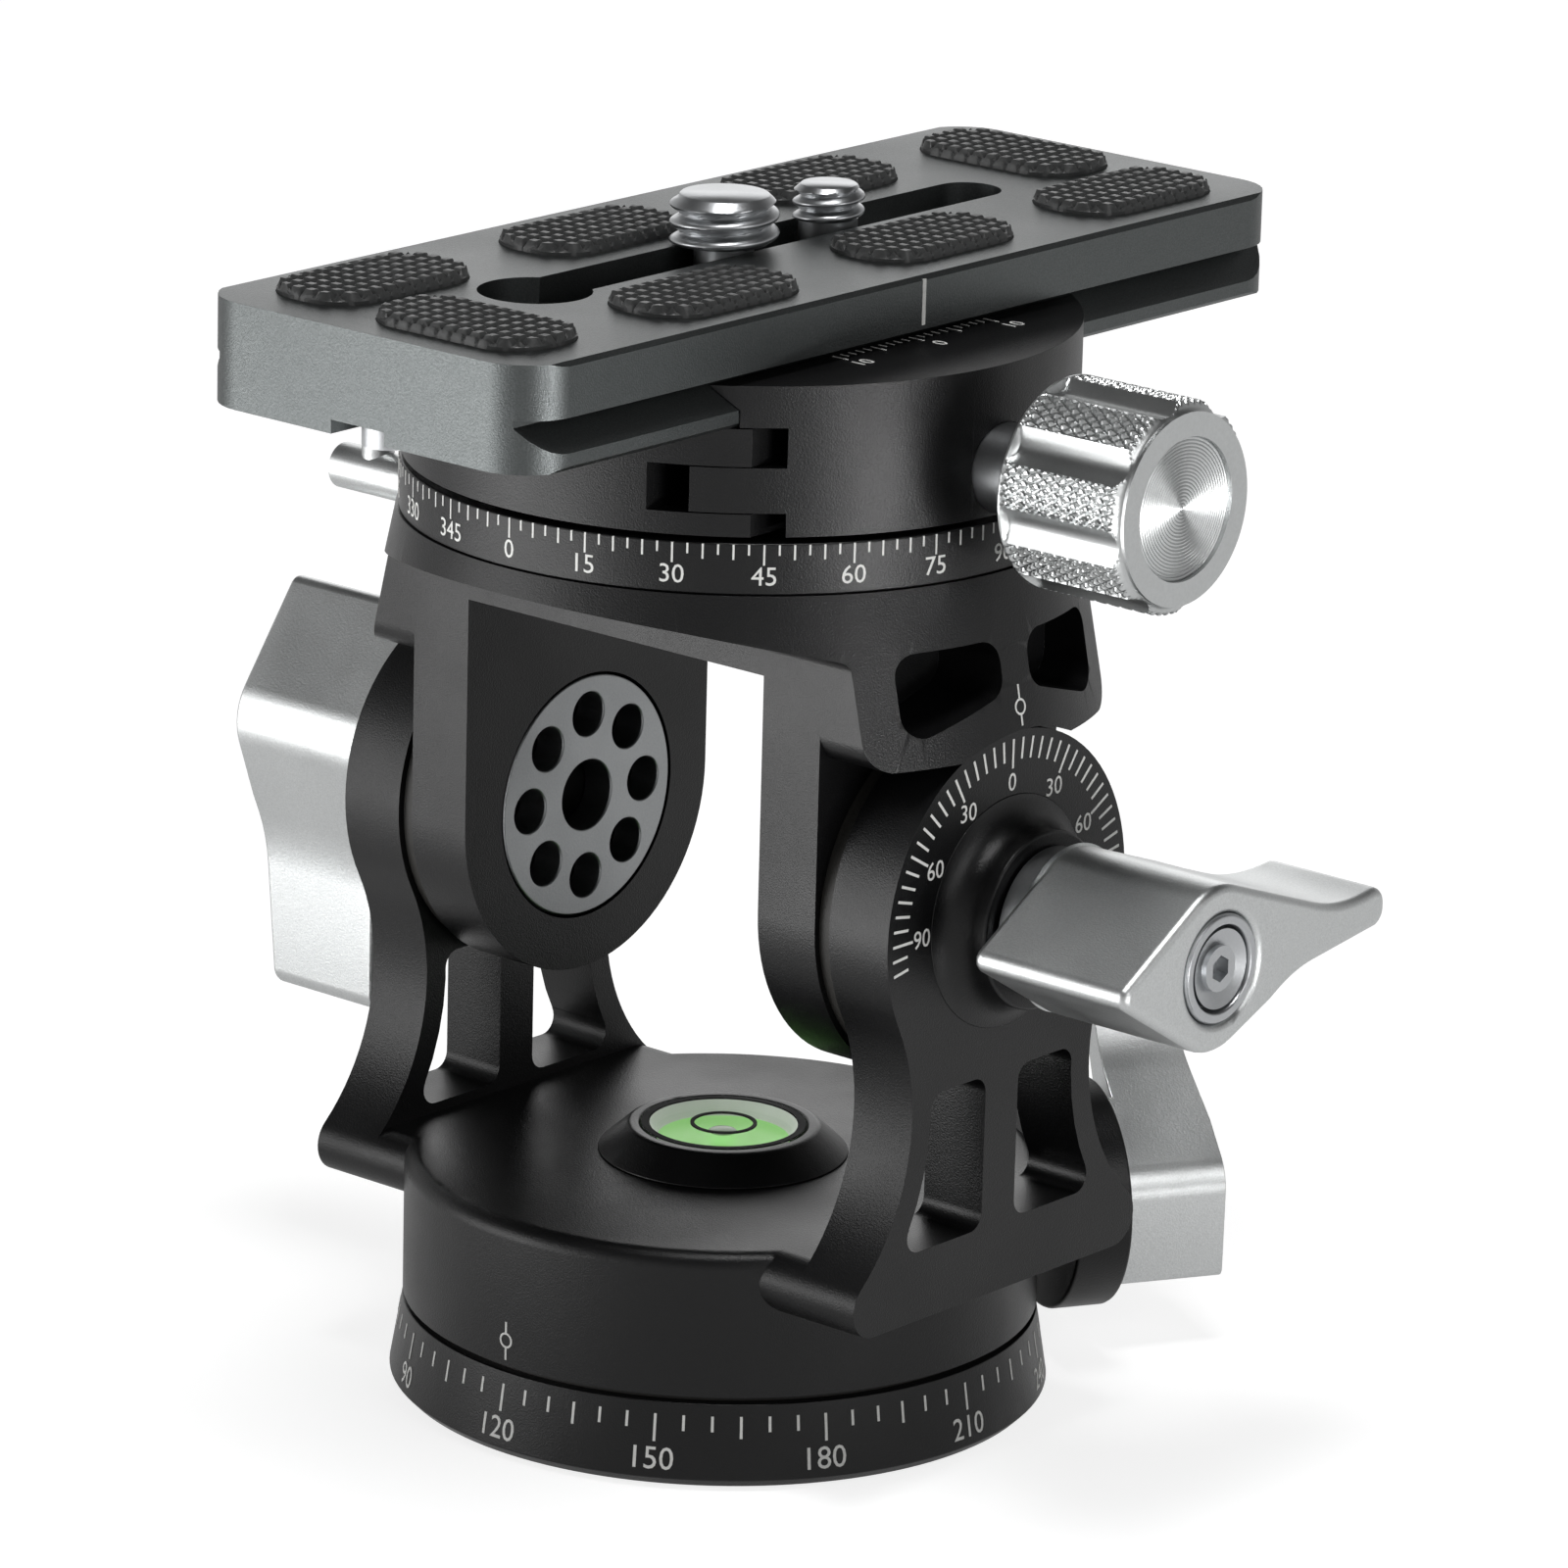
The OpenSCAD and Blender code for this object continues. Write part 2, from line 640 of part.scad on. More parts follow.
// Side view of a cheek: disc, waist hollows and foot
module cheek_shape() {
    disc_c = [0, tilt_z];
    foot_c = [foot_y, foot_z];
    hollow_c = touching(disc_c, cheek_r, foot_c, foot_r, waist_r);
    translate(disc_c) circle(cheek_r);
    foot_shape();
    difference() {
        polygon([disc_c, hollow_c, foot_c, [-foot_y, foot_z], [-hollow_c.x, hollow_c.y]]);
        for (side = [-1, 1]) translate([side * hollow_c.x, hollow_c.y]) circle(waist_r);
    }
}
module foot_shape() {
    for (side = [-1, 1]) translate([side * foot_y, foot_z]) circle(foot_r);
    translate([-foot_y, foot_z - foot_r]) square([2 * foot_y, 2 * foot_r]);
}
// One of a cheek's two slots, its outer edge parallel to the waist
module slot_shape() {
    hollow_c = touching([0, tilt_z], cheek_r, [foot_y, foot_z], foot_r, waist_r);
    r = waist_r + slot_wall;
    low = drum_top_z + slot_rise;
    high = tilt_z - slot_drop;
    a = 180 + asin((hollow_c.y - low) / r);
    b = 180 + asin((hollow_c.y - high) / r);
    edge = arc(hollow_c, r, a, b, 6);
    inner = [[strut_w / 2, high, slot_round], [strut_w / 2, low, slot_round]];
    outer = [for (i = [0:6]) [edge[i].x, edge[i].y, i == 0 || i == 6 ? slot_round : 0]];
    polygon(outline(concat(inner, outer)));
}
module pan_fork() {
    color("#1d1d1e") difference() {
        union() {
            drum();
            difference() {
                along_x(-cheek_x, cheek_x) foot_shape();
                disc_z(drum_r - drum_round, 0, tilt_z);
            }
            for (side = [0, 1]) mirror([side, 0, 0]) along_x(cheek_in, cheek_x) cheek_shape();
            on_lock_axis() rod_x(lock_boss_r, drum_r - lock_boss_root, lock_boss_x);
        }
        for (side = [0, 1], half = [0, 1]) mirror([side, 0, 0]) mirror([0, half, 0])
            along_x(cheek_in - 1, cheek_x + 1) slot_shape();
        on_tilt_axis() rod_x(cheek_bore_r, -cheek_x - 1, cheek_x + 1);
        on_lock_axis() rod_x(shoe_r + run, groove_r, lock_boss_x + 1);
        on_lock_axis() rod_x(lock_stud_r + run, hub_r + shoe_l, lock_boss_x + 1);
        for (a = retainer_angles) translate([0, 0, lock_z]) rotate([0, 0, a]) rod_x(retainer_r, groove_r, drum_r + 1);
    }
}
module level_housing() {
    color("#1d1d1e") rotate_extrude() polygon([
        [0, pocket_z], [pocket_r, pocket_z], [pocket_r, drum_top_z], [level_foot_r, drum_top_z],
        [level_rim_r, vial_top_z], [vial_r, vial_top_z], [vial_r, cup_floor_z], [0, cup_floor_z]
    ]);
}
module level_vial() {
    color("#dfe6e2", 0.4) difference() {
        disc_z(vial_r, cup_floor_z, vial_top_z);
        disc_z(vial_r - level_wall, cup_floor_z + level_wall, vial_top_z - level_wall);
    }
}
module level_fluid() {
    color("#86d65a") disc_z(vial_r - level_wall, cup_floor_z + level_wall, vial_top_z - level_wall);
}
module pan_lock_shoe() {
    color("#b58d3c") on_lock_axis() rod_x(shoe_r, lock_tip_x, hub_r + shoe_l);
}
module pan_retainer_screws() {
    color("#55575a") for (a = retainer_angles) translate([0, 0, lock_z]) rotate([0, 0, a]) difference() {
        rod_x(retainer_r, lock_tip_x, hub_r + retainer_l);
        translate([hub_r + retainer_l - retainer_r, 0, 0]) hex_socket(retainer_r / 2, retainer_l);
    }
}
module tilt_bush() {
    on_tilt_axis() difference() {
        rod_x(cheek_bore_r, cheek_in, cheek_x);
        rod_x(stud_r + run, cheek_in - 1, cheek_x + 1);
    }
}
module tilt_bush_right() {
    color("#e8e6df") tilt_bush();
}
module tilt_bush_left() {
    color("#e8e6df") on_left() tilt_bush();
}
// Flared collar about X with a hollow curve from its foot to its rim
module collar(from, bore) {
    rise = collar_foot_r - collar_r;
    flare = arc([collar_foot_r, from + rise], rise, 270, 180);
    turned_x(concat([[bore, from]], flare, [[collar_r, from + collar_l], [bore, from + collar_l]]));
}
module tilt_collar() {
    on_tilt_axis() collar(cheek_x, stud_r + clear);
}
module tilt_collar_right() {
    color("#161617") tilt_collar();
}
module tilt_collar_left() {
    color("#161617") on_left() tilt_collar();
}
module pan_lock_collar() {
    color("#161617") on_lock_axis() difference() {
        rod_x(lock_collar_r, lock_boss_x, lock_collar_end);
        rod_x(lock_stud_r + clear, lock_boss_x - 1, lock_collar_end + 1);
    }
}

// Yoke: tilts between the cheeks
module leg_shape() {
    translate([0, tilt_z]) circle(leg_r);
    translate([-leg_r, tilt_z]) square([2 * leg_r, under_z + 1 - tilt_z]);
}
// Side view of the top: overhangs that rise to the rim
module brow_shape() {
    reach = skirt_r + 1;
    bend = (leg_r + skirt_r) / 2 + brow_out;
    bend_z = brow_z + brow_rise;
    polygon(outline([
        [-reach, yoke_top_z, 0], [-reach, rim_z, 0], [-bend, bend_z, brow_round], [-leg_r, brow_z, 1], [-leg_r, under_z, 0],
        [leg_r, under_z, 0], [leg_r, brow_z, 1], [bend, bend_z, brow_round], [reach, rim_z, 0], [reach, yoke_top_z, 0]
    ]));
}
// Side view of a skirt
module skirt_shape() {
    polygon(outline([
        [-skirt_half, skirt_z, skirt_round], [skirt_half, skirt_z, skirt_round],
        [skirt_half, window_top_z, 0], [-skirt_half, window_top_z, 0]
    ]));
}
module window_shape() {
    polygon(outline([
        [window_in, window_near_z, window_round], [window_out, window_far_z, window_round],
        [window_out, window_top_z, window_round], [window_in, window_top_z, window_round]
    ]));
}
module yoke() {
    color("#1d1d1e") difference() {
        union() {
            intersection() {
                translate([0, 0, skirt_z]) cylinder(r1 = skirt_r, r2 = yoke_r, h = yoke_top_z - skirt_z);
                union() {
                    along_x(-skirt_r - 1, skirt_r + 1) brow_shape();
                    for (side = [0, 1]) mirror([side, 0, 0]) along_x(leg_out, skirt_r + 1) skirt_shape();
                }
            }
            for (side = [0, 1]) mirror([side, 0, 0]) along_x(leg_x, leg_out) leg_shape();
            disc_z(seat_r, yoke_top_z, seat_top_z);
        }
        translate([-leg_x, -skirt_r, tilt_z]) cube([2 * leg_x, 2 * skirt_r, under_z - tilt_z]);
        for (side = [0, 1]) mirror([side, 0, 0]) {
            on_tilt_axis() rod_x(cheek_r + arch_gap, leg_out, skirt_r + 1);
            on_tilt_axis() rod_x(disc_r + disc_gap, leg_x - 1, disc_floor);
            on_tilt_axis() rod_x(flange_r, leg_x, disc_floor + flange_t);
            on_tilt_axis() rod_x(stud_r, leg_x, leg_out + 1);
            for (half = [0, 1]) mirror([0, half, 0]) along_x(window_floor, skirt_r + 1) window_shape();
        }
        disc_z(spindle_r + run, under_z + floor_t, seat_top_z + 1);
        disc_z(neck_r + run, under_z - 1, yoke_top_z);
        translate([0, 0, top_lock_z]) rod_x(top_thread_r + run, -skirt_r - 1, -spindle_r);
    }
}
module tilt_disc() {
    on_tilt_axis() difference() {
        rod_x(disc_r, leg_x, disc_floor);
        rod_x(disc_eye_r, leg_x - 1, disc_floor + 1);
        for (a = [0:45:315]) rotate([a, 0, 0]) translate([0, 0, disc_pitch_r]) rod_x(disc_hole_r, leg_x - 1, disc_floor + 1);
    }
}
module tilt_disc_right() {
    color("#6f7174") tilt_disc();
}
module tilt_disc_left() {
    color("#6f7174") on_left() tilt_disc();
}
module tilt_stud() {
    on_tilt_axis() {
        rod_x(flange_r, disc_floor, disc_floor + flange_t);
        rod_x(stud_r, disc_floor, stud_end);
    }
}
module tilt_stud_right() {
    color("#9da0a3") tilt_stud();
}
module tilt_stud_left() {
    color("#9da0a3") on_left() tilt_stud();
}
module tilt_friction() {
    on_tilt_axis() difference() {
        rod_x(friction_r, leg_out, cheek_in - slide);
        rod_x(stud_r + clear, leg_out - 1, cheek_in);
    }
}
module tilt_friction_right() {
    color("#3a3a3b") tilt_friction();
}
module tilt_friction_left() {
    color("#3a3a3b") on_left() tilt_friction();
}
module top_scale_ring() {
    color("#1d1d1e") ring_z(seat_r, ring_r, yoke_top_z, ring_top_z);
}
module top_bearing_ring() {
    color("#2b2b2c") ring_z(spindle_r + clear, seat_r - 1, seat_top_z, clamp_z - slide);
}
module top_lock_shoe() {
    color("#b58d3c") translate([0, 0, top_lock_z]) rod_x(top_thread_r, -spindle_r - shoe_l, -spindle_r - clear);
}

// Clamp: turns on the yoke
module clamp_spindle() {
    color("#9da0a3") difference() {
        union() {
            disc_z(spindle_r, spindle_foot_z, spindle_top_z);
            disc_z(neck_r, keeper_z + keeper_t, spindle_foot_z + 1);
        }
        disc_z(keeper_bolt_r, keeper_z, keeper_z + keeper_bolt_l);
        spindle_screw_holes();
    }
}
module spindle_screw_holes() {
    for (a = [45:90:315]) rotate([0, 0, a]) translate([spindle_pitch_r, 0, 0])
        disc_z(spindle_screw_r, spindle_foot_z + spindle_screw_floor, channel_z + 1);
}
module clamp_body() {
    color("#1d1d1e") difference() {
        disc_z(clamp_r, clamp_z, clamp_top_z);
        along_y(-clamp_r - 1, clamp_r + 1) channel_shape();
        translate([cut_x, -clamp_r, clamp_z - 1]) cube([clamp_r, 2 * clamp_r, clamp_h + 2]);
        translate([cut_x - tongue_slot, -clamp_r, tongue_z - tongue_t / 2 - plate_play])
            cube([clamp_r, 2 * clamp_r, tongue_t + 2 * plate_play]);
        translate([0, 0, tongue_z]) rod_x(clamp_screw_r + run, cut_x - tongue_slot - clamp_screw_reach - 1, cut_x);
        for (side = [-1, 1]) translate([0, side * pin_y, tongue_z])
            rod_x(pin_r + run, cut_x - tongue_slot - pin_l, cut_x);
        disc_z(spindle_r, clamp_z - 1, spindle_top_z);
        spindle_screw_holes();
        for (a = [45:90:315]) rotate([0, 0, a]) translate([spindle_pitch_r, 0, 0])
            disc_z(2 * spindle_screw_r, channel_z - spindle_screw_r, channel_z + 1);
    }
}
// Channel for the plate: upright flange edge, then a slope that hooks over it
module channel_shape() {
    edge = plate_half + plate_play;
    lip = clamp_top_z - slope_z;
    polygon([
        [-edge, channel_z], [-edge, slope_z], [-edge + lip, clamp_top_z], [-edge + lip, clamp_top_z + 1],
        [clamp_r, clamp_top_z + 1], [clamp_r, channel_z]
    ]);
}
module spindle_screws() {
    color("#77797c") for (a = [45:90:315]) rotate([0, 0, a]) translate([spindle_pitch_r, 0, 0]) {
        disc_z(spindle_screw_r, spindle_foot_z + spindle_screw_floor, channel_z);
        disc_z(2 * spindle_screw_r, channel_z - spindle_screw_r, channel_z);
    }
}
module spindle_keeper() {
    color("#77797c") rotate_extrude() polygon([
        [keeper_bolt_r, keeper_z + keeper_t], [keeper_bolt_r, keeper_z + keeper_head_r - keeper_bolt_r],
        [keeper_head_r, keeper_z], [keeper_r, keeper_z], [keeper_r, keeper_z + keeper_t]
    ]);
}
module keeper_bolt() {
    color("#9da0a3") difference() {
        rotate_extrude() polygon([
            [0, keeper_z], [keeper_head_r, keeper_z], [keeper_bolt_r, keeper_z + keeper_head_r - keeper_bolt_r],
            [keeper_bolt_r, keeper_z + keeper_bolt_l], [0, keeper_z + keeper_bolt_l]
        ]);
        translate([0, 0, keeper_z - 1]) cylinder(r = keeper_bolt_r / 2, h = 2.5, $fn = 6);
    }
}

// Jaw: slides out of the clamp along X
module jaw_shape() {
    edge = plate_half + plate_play;
    lip = clamp_top_z - slope_z;
    polygon([
        [jaw_x, clamp_z], [clamp_r, clamp_z], [clamp_r, clamp_top_z], [edge - lip, clamp_top_z], [edge, slope_z],
        [edge, plate_z], [jaw_x, plate_z], [jaw_x, tongue_z + tongue_t / 2],
        [jaw_x - tongue_l, tongue_z + tongue_t / 2], [jaw_x - tongue_l, tongue_z - tongue_t / 2],
        [jaw_x, tongue_z - tongue_t / 2]
    ]);
}
module clamp_jaw() {
    color("#1d1d1e") difference() {
        intersection() {
            disc_z(clamp_r, clamp_z, clamp_top_z);
            along_y(-clamp_r, clamp_r) jaw_shape();
        }
        translate([0, 0, tongue_z]) {
            rod_x(clamp_screw_r + run, 0, clamp_r + 1);
            rod_x(stem_r + run, spot_x, clamp_r + 1);
        }
        for (side = [-1, 1]) translate([0, side * pin_y, tongue_z]) rod_x(pin_r, 0, jaw_x);
    }
}
module jaw_guide_pins() {
    color("#9da0a3") for (side = [-1, 1]) translate([0, side * pin_y, tongue_z]) rod_x(pin_r, jaw_x - pin_l, jaw_x);
}
// Knob with a bevelled outer end and a shallow dish in it
module clamp_knob() {
    color("#c9cbcd") translate([0, 0, tongue_z]) turned_x([
        [0, knob_screw_end], [clamp_screw_r, knob_screw_end], [clamp_screw_r, stem_end], [stem_r, stem_end],
        [stem_r, knob_x], [knob_r - knob_bevel, knob_x], [knob_r, knob_x + knob_bevel],
        [knob_r, knob_end - knob_chamfer], [knob_r - knob_chamfer, knob_end], [knob_cap_r, knob_end],
        [knob_cap_r, knob_end - dish_depth], [0, knob_end - dish_depth]
    ]);
}
module clamp_screw() {
    color("#9da0a3") translate([0, 0, tongue_z]) {
        rod_x(clamp_screw_r, cut_x - tongue_slot - clamp_screw_reach, knob_screw_end);
        rod_x(stem_r, spot_x, stem_end);
    }
}

// Plate: slides in the channel along Y
module plate_section() {
    slope_top = slope_z + side_groove;
    right = [
        [plate_half - plate_edge, plate_z], [plate_half, plate_z + plate_edge], [plate_half, slope_z], [neck_x, slope_top],
        [neck_x, slab_z], [plate_half, slab_z], [plate_half, plate_top_z - plate_edge],
        [plate_half - plate_edge, plate_top_z]
    ];
    left = [for (i = [7:-1:0]) [-right[i].x, right[i].y]];
    polygon(concat(right, left));
}
module rounded_bar(w, l, r) {
    polygon(outline([[-w / 2, -l / 2, r], [w / 2, -l / 2, r], [w / 2, l / 2, r], [-w / 2, l / 2, r]]));
}
module slot_bar(w, half) {
    for (side = [-1, 1]) translate([0, side * half]) circle(w / 2);
    translate([-w / 2, -half]) square([w, 2 * half]);
}
module qr_plate() {
    color("#2a2c2d") translate([0, plate_y, 0]) difference() {
        intersection() {
            along_y(-plate_l / 2, plate_l / 2) plate_section();
            translate([0, 0, plate_z]) linear_extrude(plate_t) rounded_bar(plate_w, plate_l, plate_round);
        }
        translate([0, 0, plate_z - 1]) linear_extrude(plate_t + 2) slot_bar(slot_w, slot_half);
        translate([0, -slot_half, 0]) disc_z(keyhole_r, plate_z - 1, plate_top_z + 1);
        translate([0, 0, plate_z - 1]) linear_extrude(recess_h + 1) slot_bar(recess_w, slot_half);
        translate([-keel_w / 2, -plate_l, plate_z - 1]) cube([keel_w, 2 * plate_l, keel_h + 1]);
        for (p = pads) translate([p.x, p.y, plate_top_z - pad_sink]) rotate([0, 0, p.z])
            linear_extrude(pad_sink + 1) rounded_bar(pad_w, pad_l, pad_round);
        for (side = [-1, 1]) translate([0, side * stop_y, 0]) disc_z(stop_r / 2, plate_z, plate_z + recess_h);
    }
}
module grip_pad(i) {
    p = pads[i - 1];
    color("#131314") translate([p.x, plate_y + p.y, plate_top_z - pad_sink]) rotate([0, 0, p.z])
        linear_extrude(pad_sink + pad_rise) rounded_bar(pad_w, pad_l, pad_round);
}
module stop_screws() {
    color("#77797c") for (side = [-1, 1]) translate([0, plate_y + side * stop_y, 0]) difference() {
        union() {
            disc_z(stop_r, plate_z - stop_rise, plate_z + keel_h);
            disc_z(stop_r / 2, plate_z - stop_rise, plate_z + recess_h);
        }
        translate([0, 0, plate_z - stop_rise - 1]) cylinder(r = stop_r / 2, h = 1 + keel_h, $fn = 6);
    }
}
// Captive screw: slotted head under the plate, slim neck in the slot, thread above
module camera_screw(r, rise) {
    difference() {
        union() {
            disc_z(screw_head_r, head_z, head_z + screw_head_h);
            disc_z(screw_neck_r, head_z, plate_top_z + screw_gap);
            disc_z(r, plate_top_z + screw_gap, plate_top_z + rise);
        }
        translate([-driver_w / 2, -screw_head_r - 1, head_z - 1])
            cube([driver_w, 2 * screw_head_r + 2, driver_d + 1]);
    }
}
module screw_washer() {
    top = recess_top_z - slide;
    ring_z(screw_neck_r + run, screw_washer_r, top - screw_washer_t, top);
}
module screw_washer_large() {
    color("#e8e6df") translate([0, large_y, 0]) screw_washer();
}
module screw_washer_small() {
    color("#e8e6df") translate([0, small_y, 0]) screw_washer();
}
module camera_screw_large() {
    color("#c9cbcd") translate([0, large_y, 0]) camera_screw(large_r, large_rise);
}
module camera_screw_small() {
    color("#c9cbcd") translate([0, small_y, 0]) camera_screw(small_r, small_rise);
}

// Levers, each drawn on its own axis with its tail along +Y
module lever_shape(k) {
    corners = [
        [-lever_tip, 0, lever_tip_round], [-lever_hub_y, lever_hub, lever_hub_round],
        [lever_hollow, lever_hollow_t, lever_hollow_round], [lever_tail, lever_tail_t, lever_end_round],
        [lever_tail, -lever_tail_t, lever_end_round], [lever_waist, -lever_waist_t, lever_waist_round],
        [-lever_hub_y, -lever_hub, lever_hub_round]
    ];
    polygon(outline([for (c = corners) c * k]));
}
module lever(k, back, front, nest) {
    difference() {
        along_x(back, front) lever_shape(k);
        rod_x(insert_r * k, back - 1, back + nest);
        rod_x(lever_screw_r * k, back, front);
        rod_x(cup_r * k, front - cup_depth * k, front + 1);
        translate([back - 1, lever_step_y * k, -lever_hub]) cube([tail_step * k + 1, lever_tail, 2 * lever_hub]);
        translate([front, 0, -lever_hub]) linear_extrude(2 * lever_hub) polygon([
            [0, lever_fall_y * k], [-lever_fall * k, lever_tail * k], [-lever_fall * k, lever_tail * k + 1],
            [1, lever_tail * k + 1], [1, lever_fall_y * k]
        ]);
    }
}
// Threaded insert that joins a tilt lever to its stud
module lever_insert(back) {
    end = back + insert_depth;
    difference() {
        rod_x(insert_r, collar_end + clear, end);
        rod_x(stud_r + run, collar_end, stud_end + clear);
        rod_x(lever_screw_r, collar_end, end + 1);
    }
}
// Cup washer with a seat for the screw's head
module lever_washer(k, front) {
    floor_x = front - cup_depth * k;
    seat_x = floor_x + cup_seat * k;
    turned_x([
        [lever_screw_r * k, floor_x], [cup_r * k, floor_x], [cup_r * k, front - cup_edge], [cup_r * k - cup_edge, front],
        [cup_rim_r * k, front], [lever_head_r * k, seat_x], [lever_screw_r * k, seat_x]
    ]);
}
module lever_screw(k, nest_x, front) {
    seat_x = front - (cup_depth - cup_seat) * k;
    tip_x = nest_x - lever_screw_grip * k;
    top_x = front - cup_edge;
    ring_x = top_x - lever_ring_depth * k;
    difference() {
        turned_x([
            [0, tip_x], [lever_screw_r * k, tip_x], [lever_screw_r * k, seat_x], [lever_head_r * k, seat_x],
            [lever_head_r * k, top_x], [lever_boss_r * k, ring_x], [lever_boss_r * k, top_x], [0, top_x]
        ]);
        translate([seat_x, 0, 0]) hex_socket(lever_key_r * k, cup_depth);
    }
}
module tilt_lever_right() {
    color("#c4c6c8") on_tilt_axis() lever(1, lever_x, lever_front, insert_depth);
}
module lever_insert_right() {
    color("#b9bbbd") on_tilt_axis() lever_insert(lever_x);
}
module lever_washer_right() {
    color("#c9cbcd") on_tilt_axis() lever_washer(1, lever_front);
}
module lever_screw_right() {
    color("#b9bbbd") on_tilt_axis() lever_screw(1, lever_x + insert_depth, lever_front);
}
module tilt_lever_left() {
    color("#c4c6c8") on_left_lever() lever(1, left_lever_x, left_lever_front, insert_depth);
}
module lever_insert_left() {
    color("#b9bbbd") on_left_lever() lever_insert(left_lever_x);
}
module lever_washer_left() {
    color("#c9cbcd") on_left_lever() lever_washer(1, left_lever_front);
}
module lever_screw_left() {
    color("#b9bbbd") on_left_lever() lever_screw(1, left_lever_x + insert_depth, left_lever_front);
}
module pan_lock_lever() {
    color("#c4c6c8") on_lock_axis(lock_turn) lever(small_lever, lock_lever_x, lock_lever_front, lock_insert_depth);
}
// Stud of the pan lock: thick end in the lever, thread in the drum
module pan_lock_stud() {
    color("#b9bbbd") on_lock_axis() difference() {
        union() {
            rod_x(lock_stud_r, hub_r + shoe_l + slide, lock_nest_x);
            rod_x(insert_r * small_lever, lock_collar_end + clear, lock_nest_x);
        }
        rod_x(lever_screw_r * small_lever, lock_nest_x - lever_screw_grip * small_lever, lock_nest_x + 1);
    }
}
module pan_lock_washer() {
    color("#c9cbcd") on_lock_axis(lock_turn) lever_washer(small_lever, lock_lever_front);
}
module pan_lock_screw() {
    color("#b9bbbd") on_lock_axis(lock_turn) lever_screw(small_lever, lock_nest_x, lock_lever_front);
}
// Top lock: thread in the yoke, slim handle with an upright peg
module top_lock_screw() {
    face_x = yoke_cone_r(top_lock_z - top_lock_r) + clear;
    color("#c4c6c8") translate([0, 0, top_lock_z]) {
        on_left() rod_x(top_thread_r, spindle_r + shoe_l + slide, face_x);
        on_left() rod_x(top_lock_r, face_x, top_lock_x);
        translate([-top_lock_x + peg_back, 0, 0]) cylinder(r = peg_r, h = peg_rise);
    }
}

base_ring();
tripod_bush();
pan_friction_ring();
pan_fork();
level_housing();
level_vial();
level_fluid();
pan_lock_shoe();
pan_retainer_screws();
tilt_bush_right();
tilt_bush_left();
tilt_collar_right();
tilt_collar_left();
pan_lock_collar();
yoke();
tilt_disc_right();
tilt_disc_left();
tilt_stud_right();
tilt_stud_left();
tilt_friction_right();
tilt_friction_left();
top_scale_ring();
top_bearing_ring();
top_lock_shoe();
clamp_body();
clamp_spindle();
spindle_screws();
spindle_keeper();
keeper_bolt();
clamp_jaw();
jaw_guide_pins();
clamp_knob();
clamp_screw();
qr_plate();
grip_pad(1);  // grip_pad_1
grip_pad(2);  // grip_pad_2
grip_pad(3);  // grip_pad_3
grip_pad(4);  // grip_pad_4
grip_pad(5);  // grip_pad_5
grip_pad(6);  // grip_pad_6
grip_pad(7);  // grip_pad_7
grip_pad(8);  // grip_pad_8
stop_screws();
screw_washer_large();
screw_washer_small();
camera_screw_large();
camera_screw_small();
tilt_lever_right();
lever_insert_right();
lever_washer_right();
lever_screw_right();
tilt_lever_left();
lever_insert_left();
lever_washer_left();
lever_screw_left();
pan_lock_lever();
pan_lock_stud();
pan_lock_washer();
pan_lock_screw();
top_lock_screw();
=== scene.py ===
import json
import math
import bmesh
import bpy
import numpy as np
from mathutils import Matrix, Vector


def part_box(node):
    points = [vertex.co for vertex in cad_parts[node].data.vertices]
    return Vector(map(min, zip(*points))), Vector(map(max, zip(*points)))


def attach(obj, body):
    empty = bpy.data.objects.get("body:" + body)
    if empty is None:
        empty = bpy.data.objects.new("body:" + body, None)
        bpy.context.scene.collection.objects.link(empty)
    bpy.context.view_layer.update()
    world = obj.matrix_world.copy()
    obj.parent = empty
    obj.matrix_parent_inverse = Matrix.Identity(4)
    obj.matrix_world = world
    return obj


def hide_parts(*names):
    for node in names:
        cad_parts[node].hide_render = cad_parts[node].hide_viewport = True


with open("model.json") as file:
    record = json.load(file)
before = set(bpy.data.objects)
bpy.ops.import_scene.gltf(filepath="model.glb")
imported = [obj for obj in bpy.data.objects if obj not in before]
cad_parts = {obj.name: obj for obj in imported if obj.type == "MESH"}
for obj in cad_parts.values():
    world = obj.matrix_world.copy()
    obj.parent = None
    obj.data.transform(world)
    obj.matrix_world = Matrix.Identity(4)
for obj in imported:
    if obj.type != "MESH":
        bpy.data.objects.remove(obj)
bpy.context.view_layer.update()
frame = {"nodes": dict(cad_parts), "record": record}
nodes = frame["nodes"]
mm = 0.001

# camera: a long lens, a little above the head and to the right of its front
cameraPlace = dict(
    place=(472.1, -549.3, 269.0),  # mm
    right=(0.7625, 0.647, 0.0),
    back=(0.6205, -0.7312, 0.2834),
    roll=1.506,  # degrees
    focalPixels=8780.08,
    picturePixels=1600,
    sensor=36.0,
)


def addCamera(look):
    right, back = Vector(look["right"]).normalized(), Vector(look["back"]).normalized()
    up = back.cross(right)
    roll = math.radians(look["roll"])
    camX = right * math.cos(roll) + up * math.sin(roll)
    camY = up * math.cos(roll) - right * math.sin(roll)
    turn = Matrix((camX, camY, back)).transposed().to_4x4()
    data = bpy.data.cameras.new("camera")
    data.sensor_width = look["sensor"]
    data.lens = look["focalPixels"] * look["sensor"] / look["picturePixels"]
    data.clip_end = 20
    camera = bpy.data.objects.new("camera", data)
    bpy.context.scene.collection.objects.link(camera)
    camera.matrix_world = Matrix.Translation(Vector(look["place"]) * mm) @ turn
    bpy.context.scene.camera = camera


addCamera(cameraPlace)
bpy.context.scene.view_settings.view_transform = "Standard"


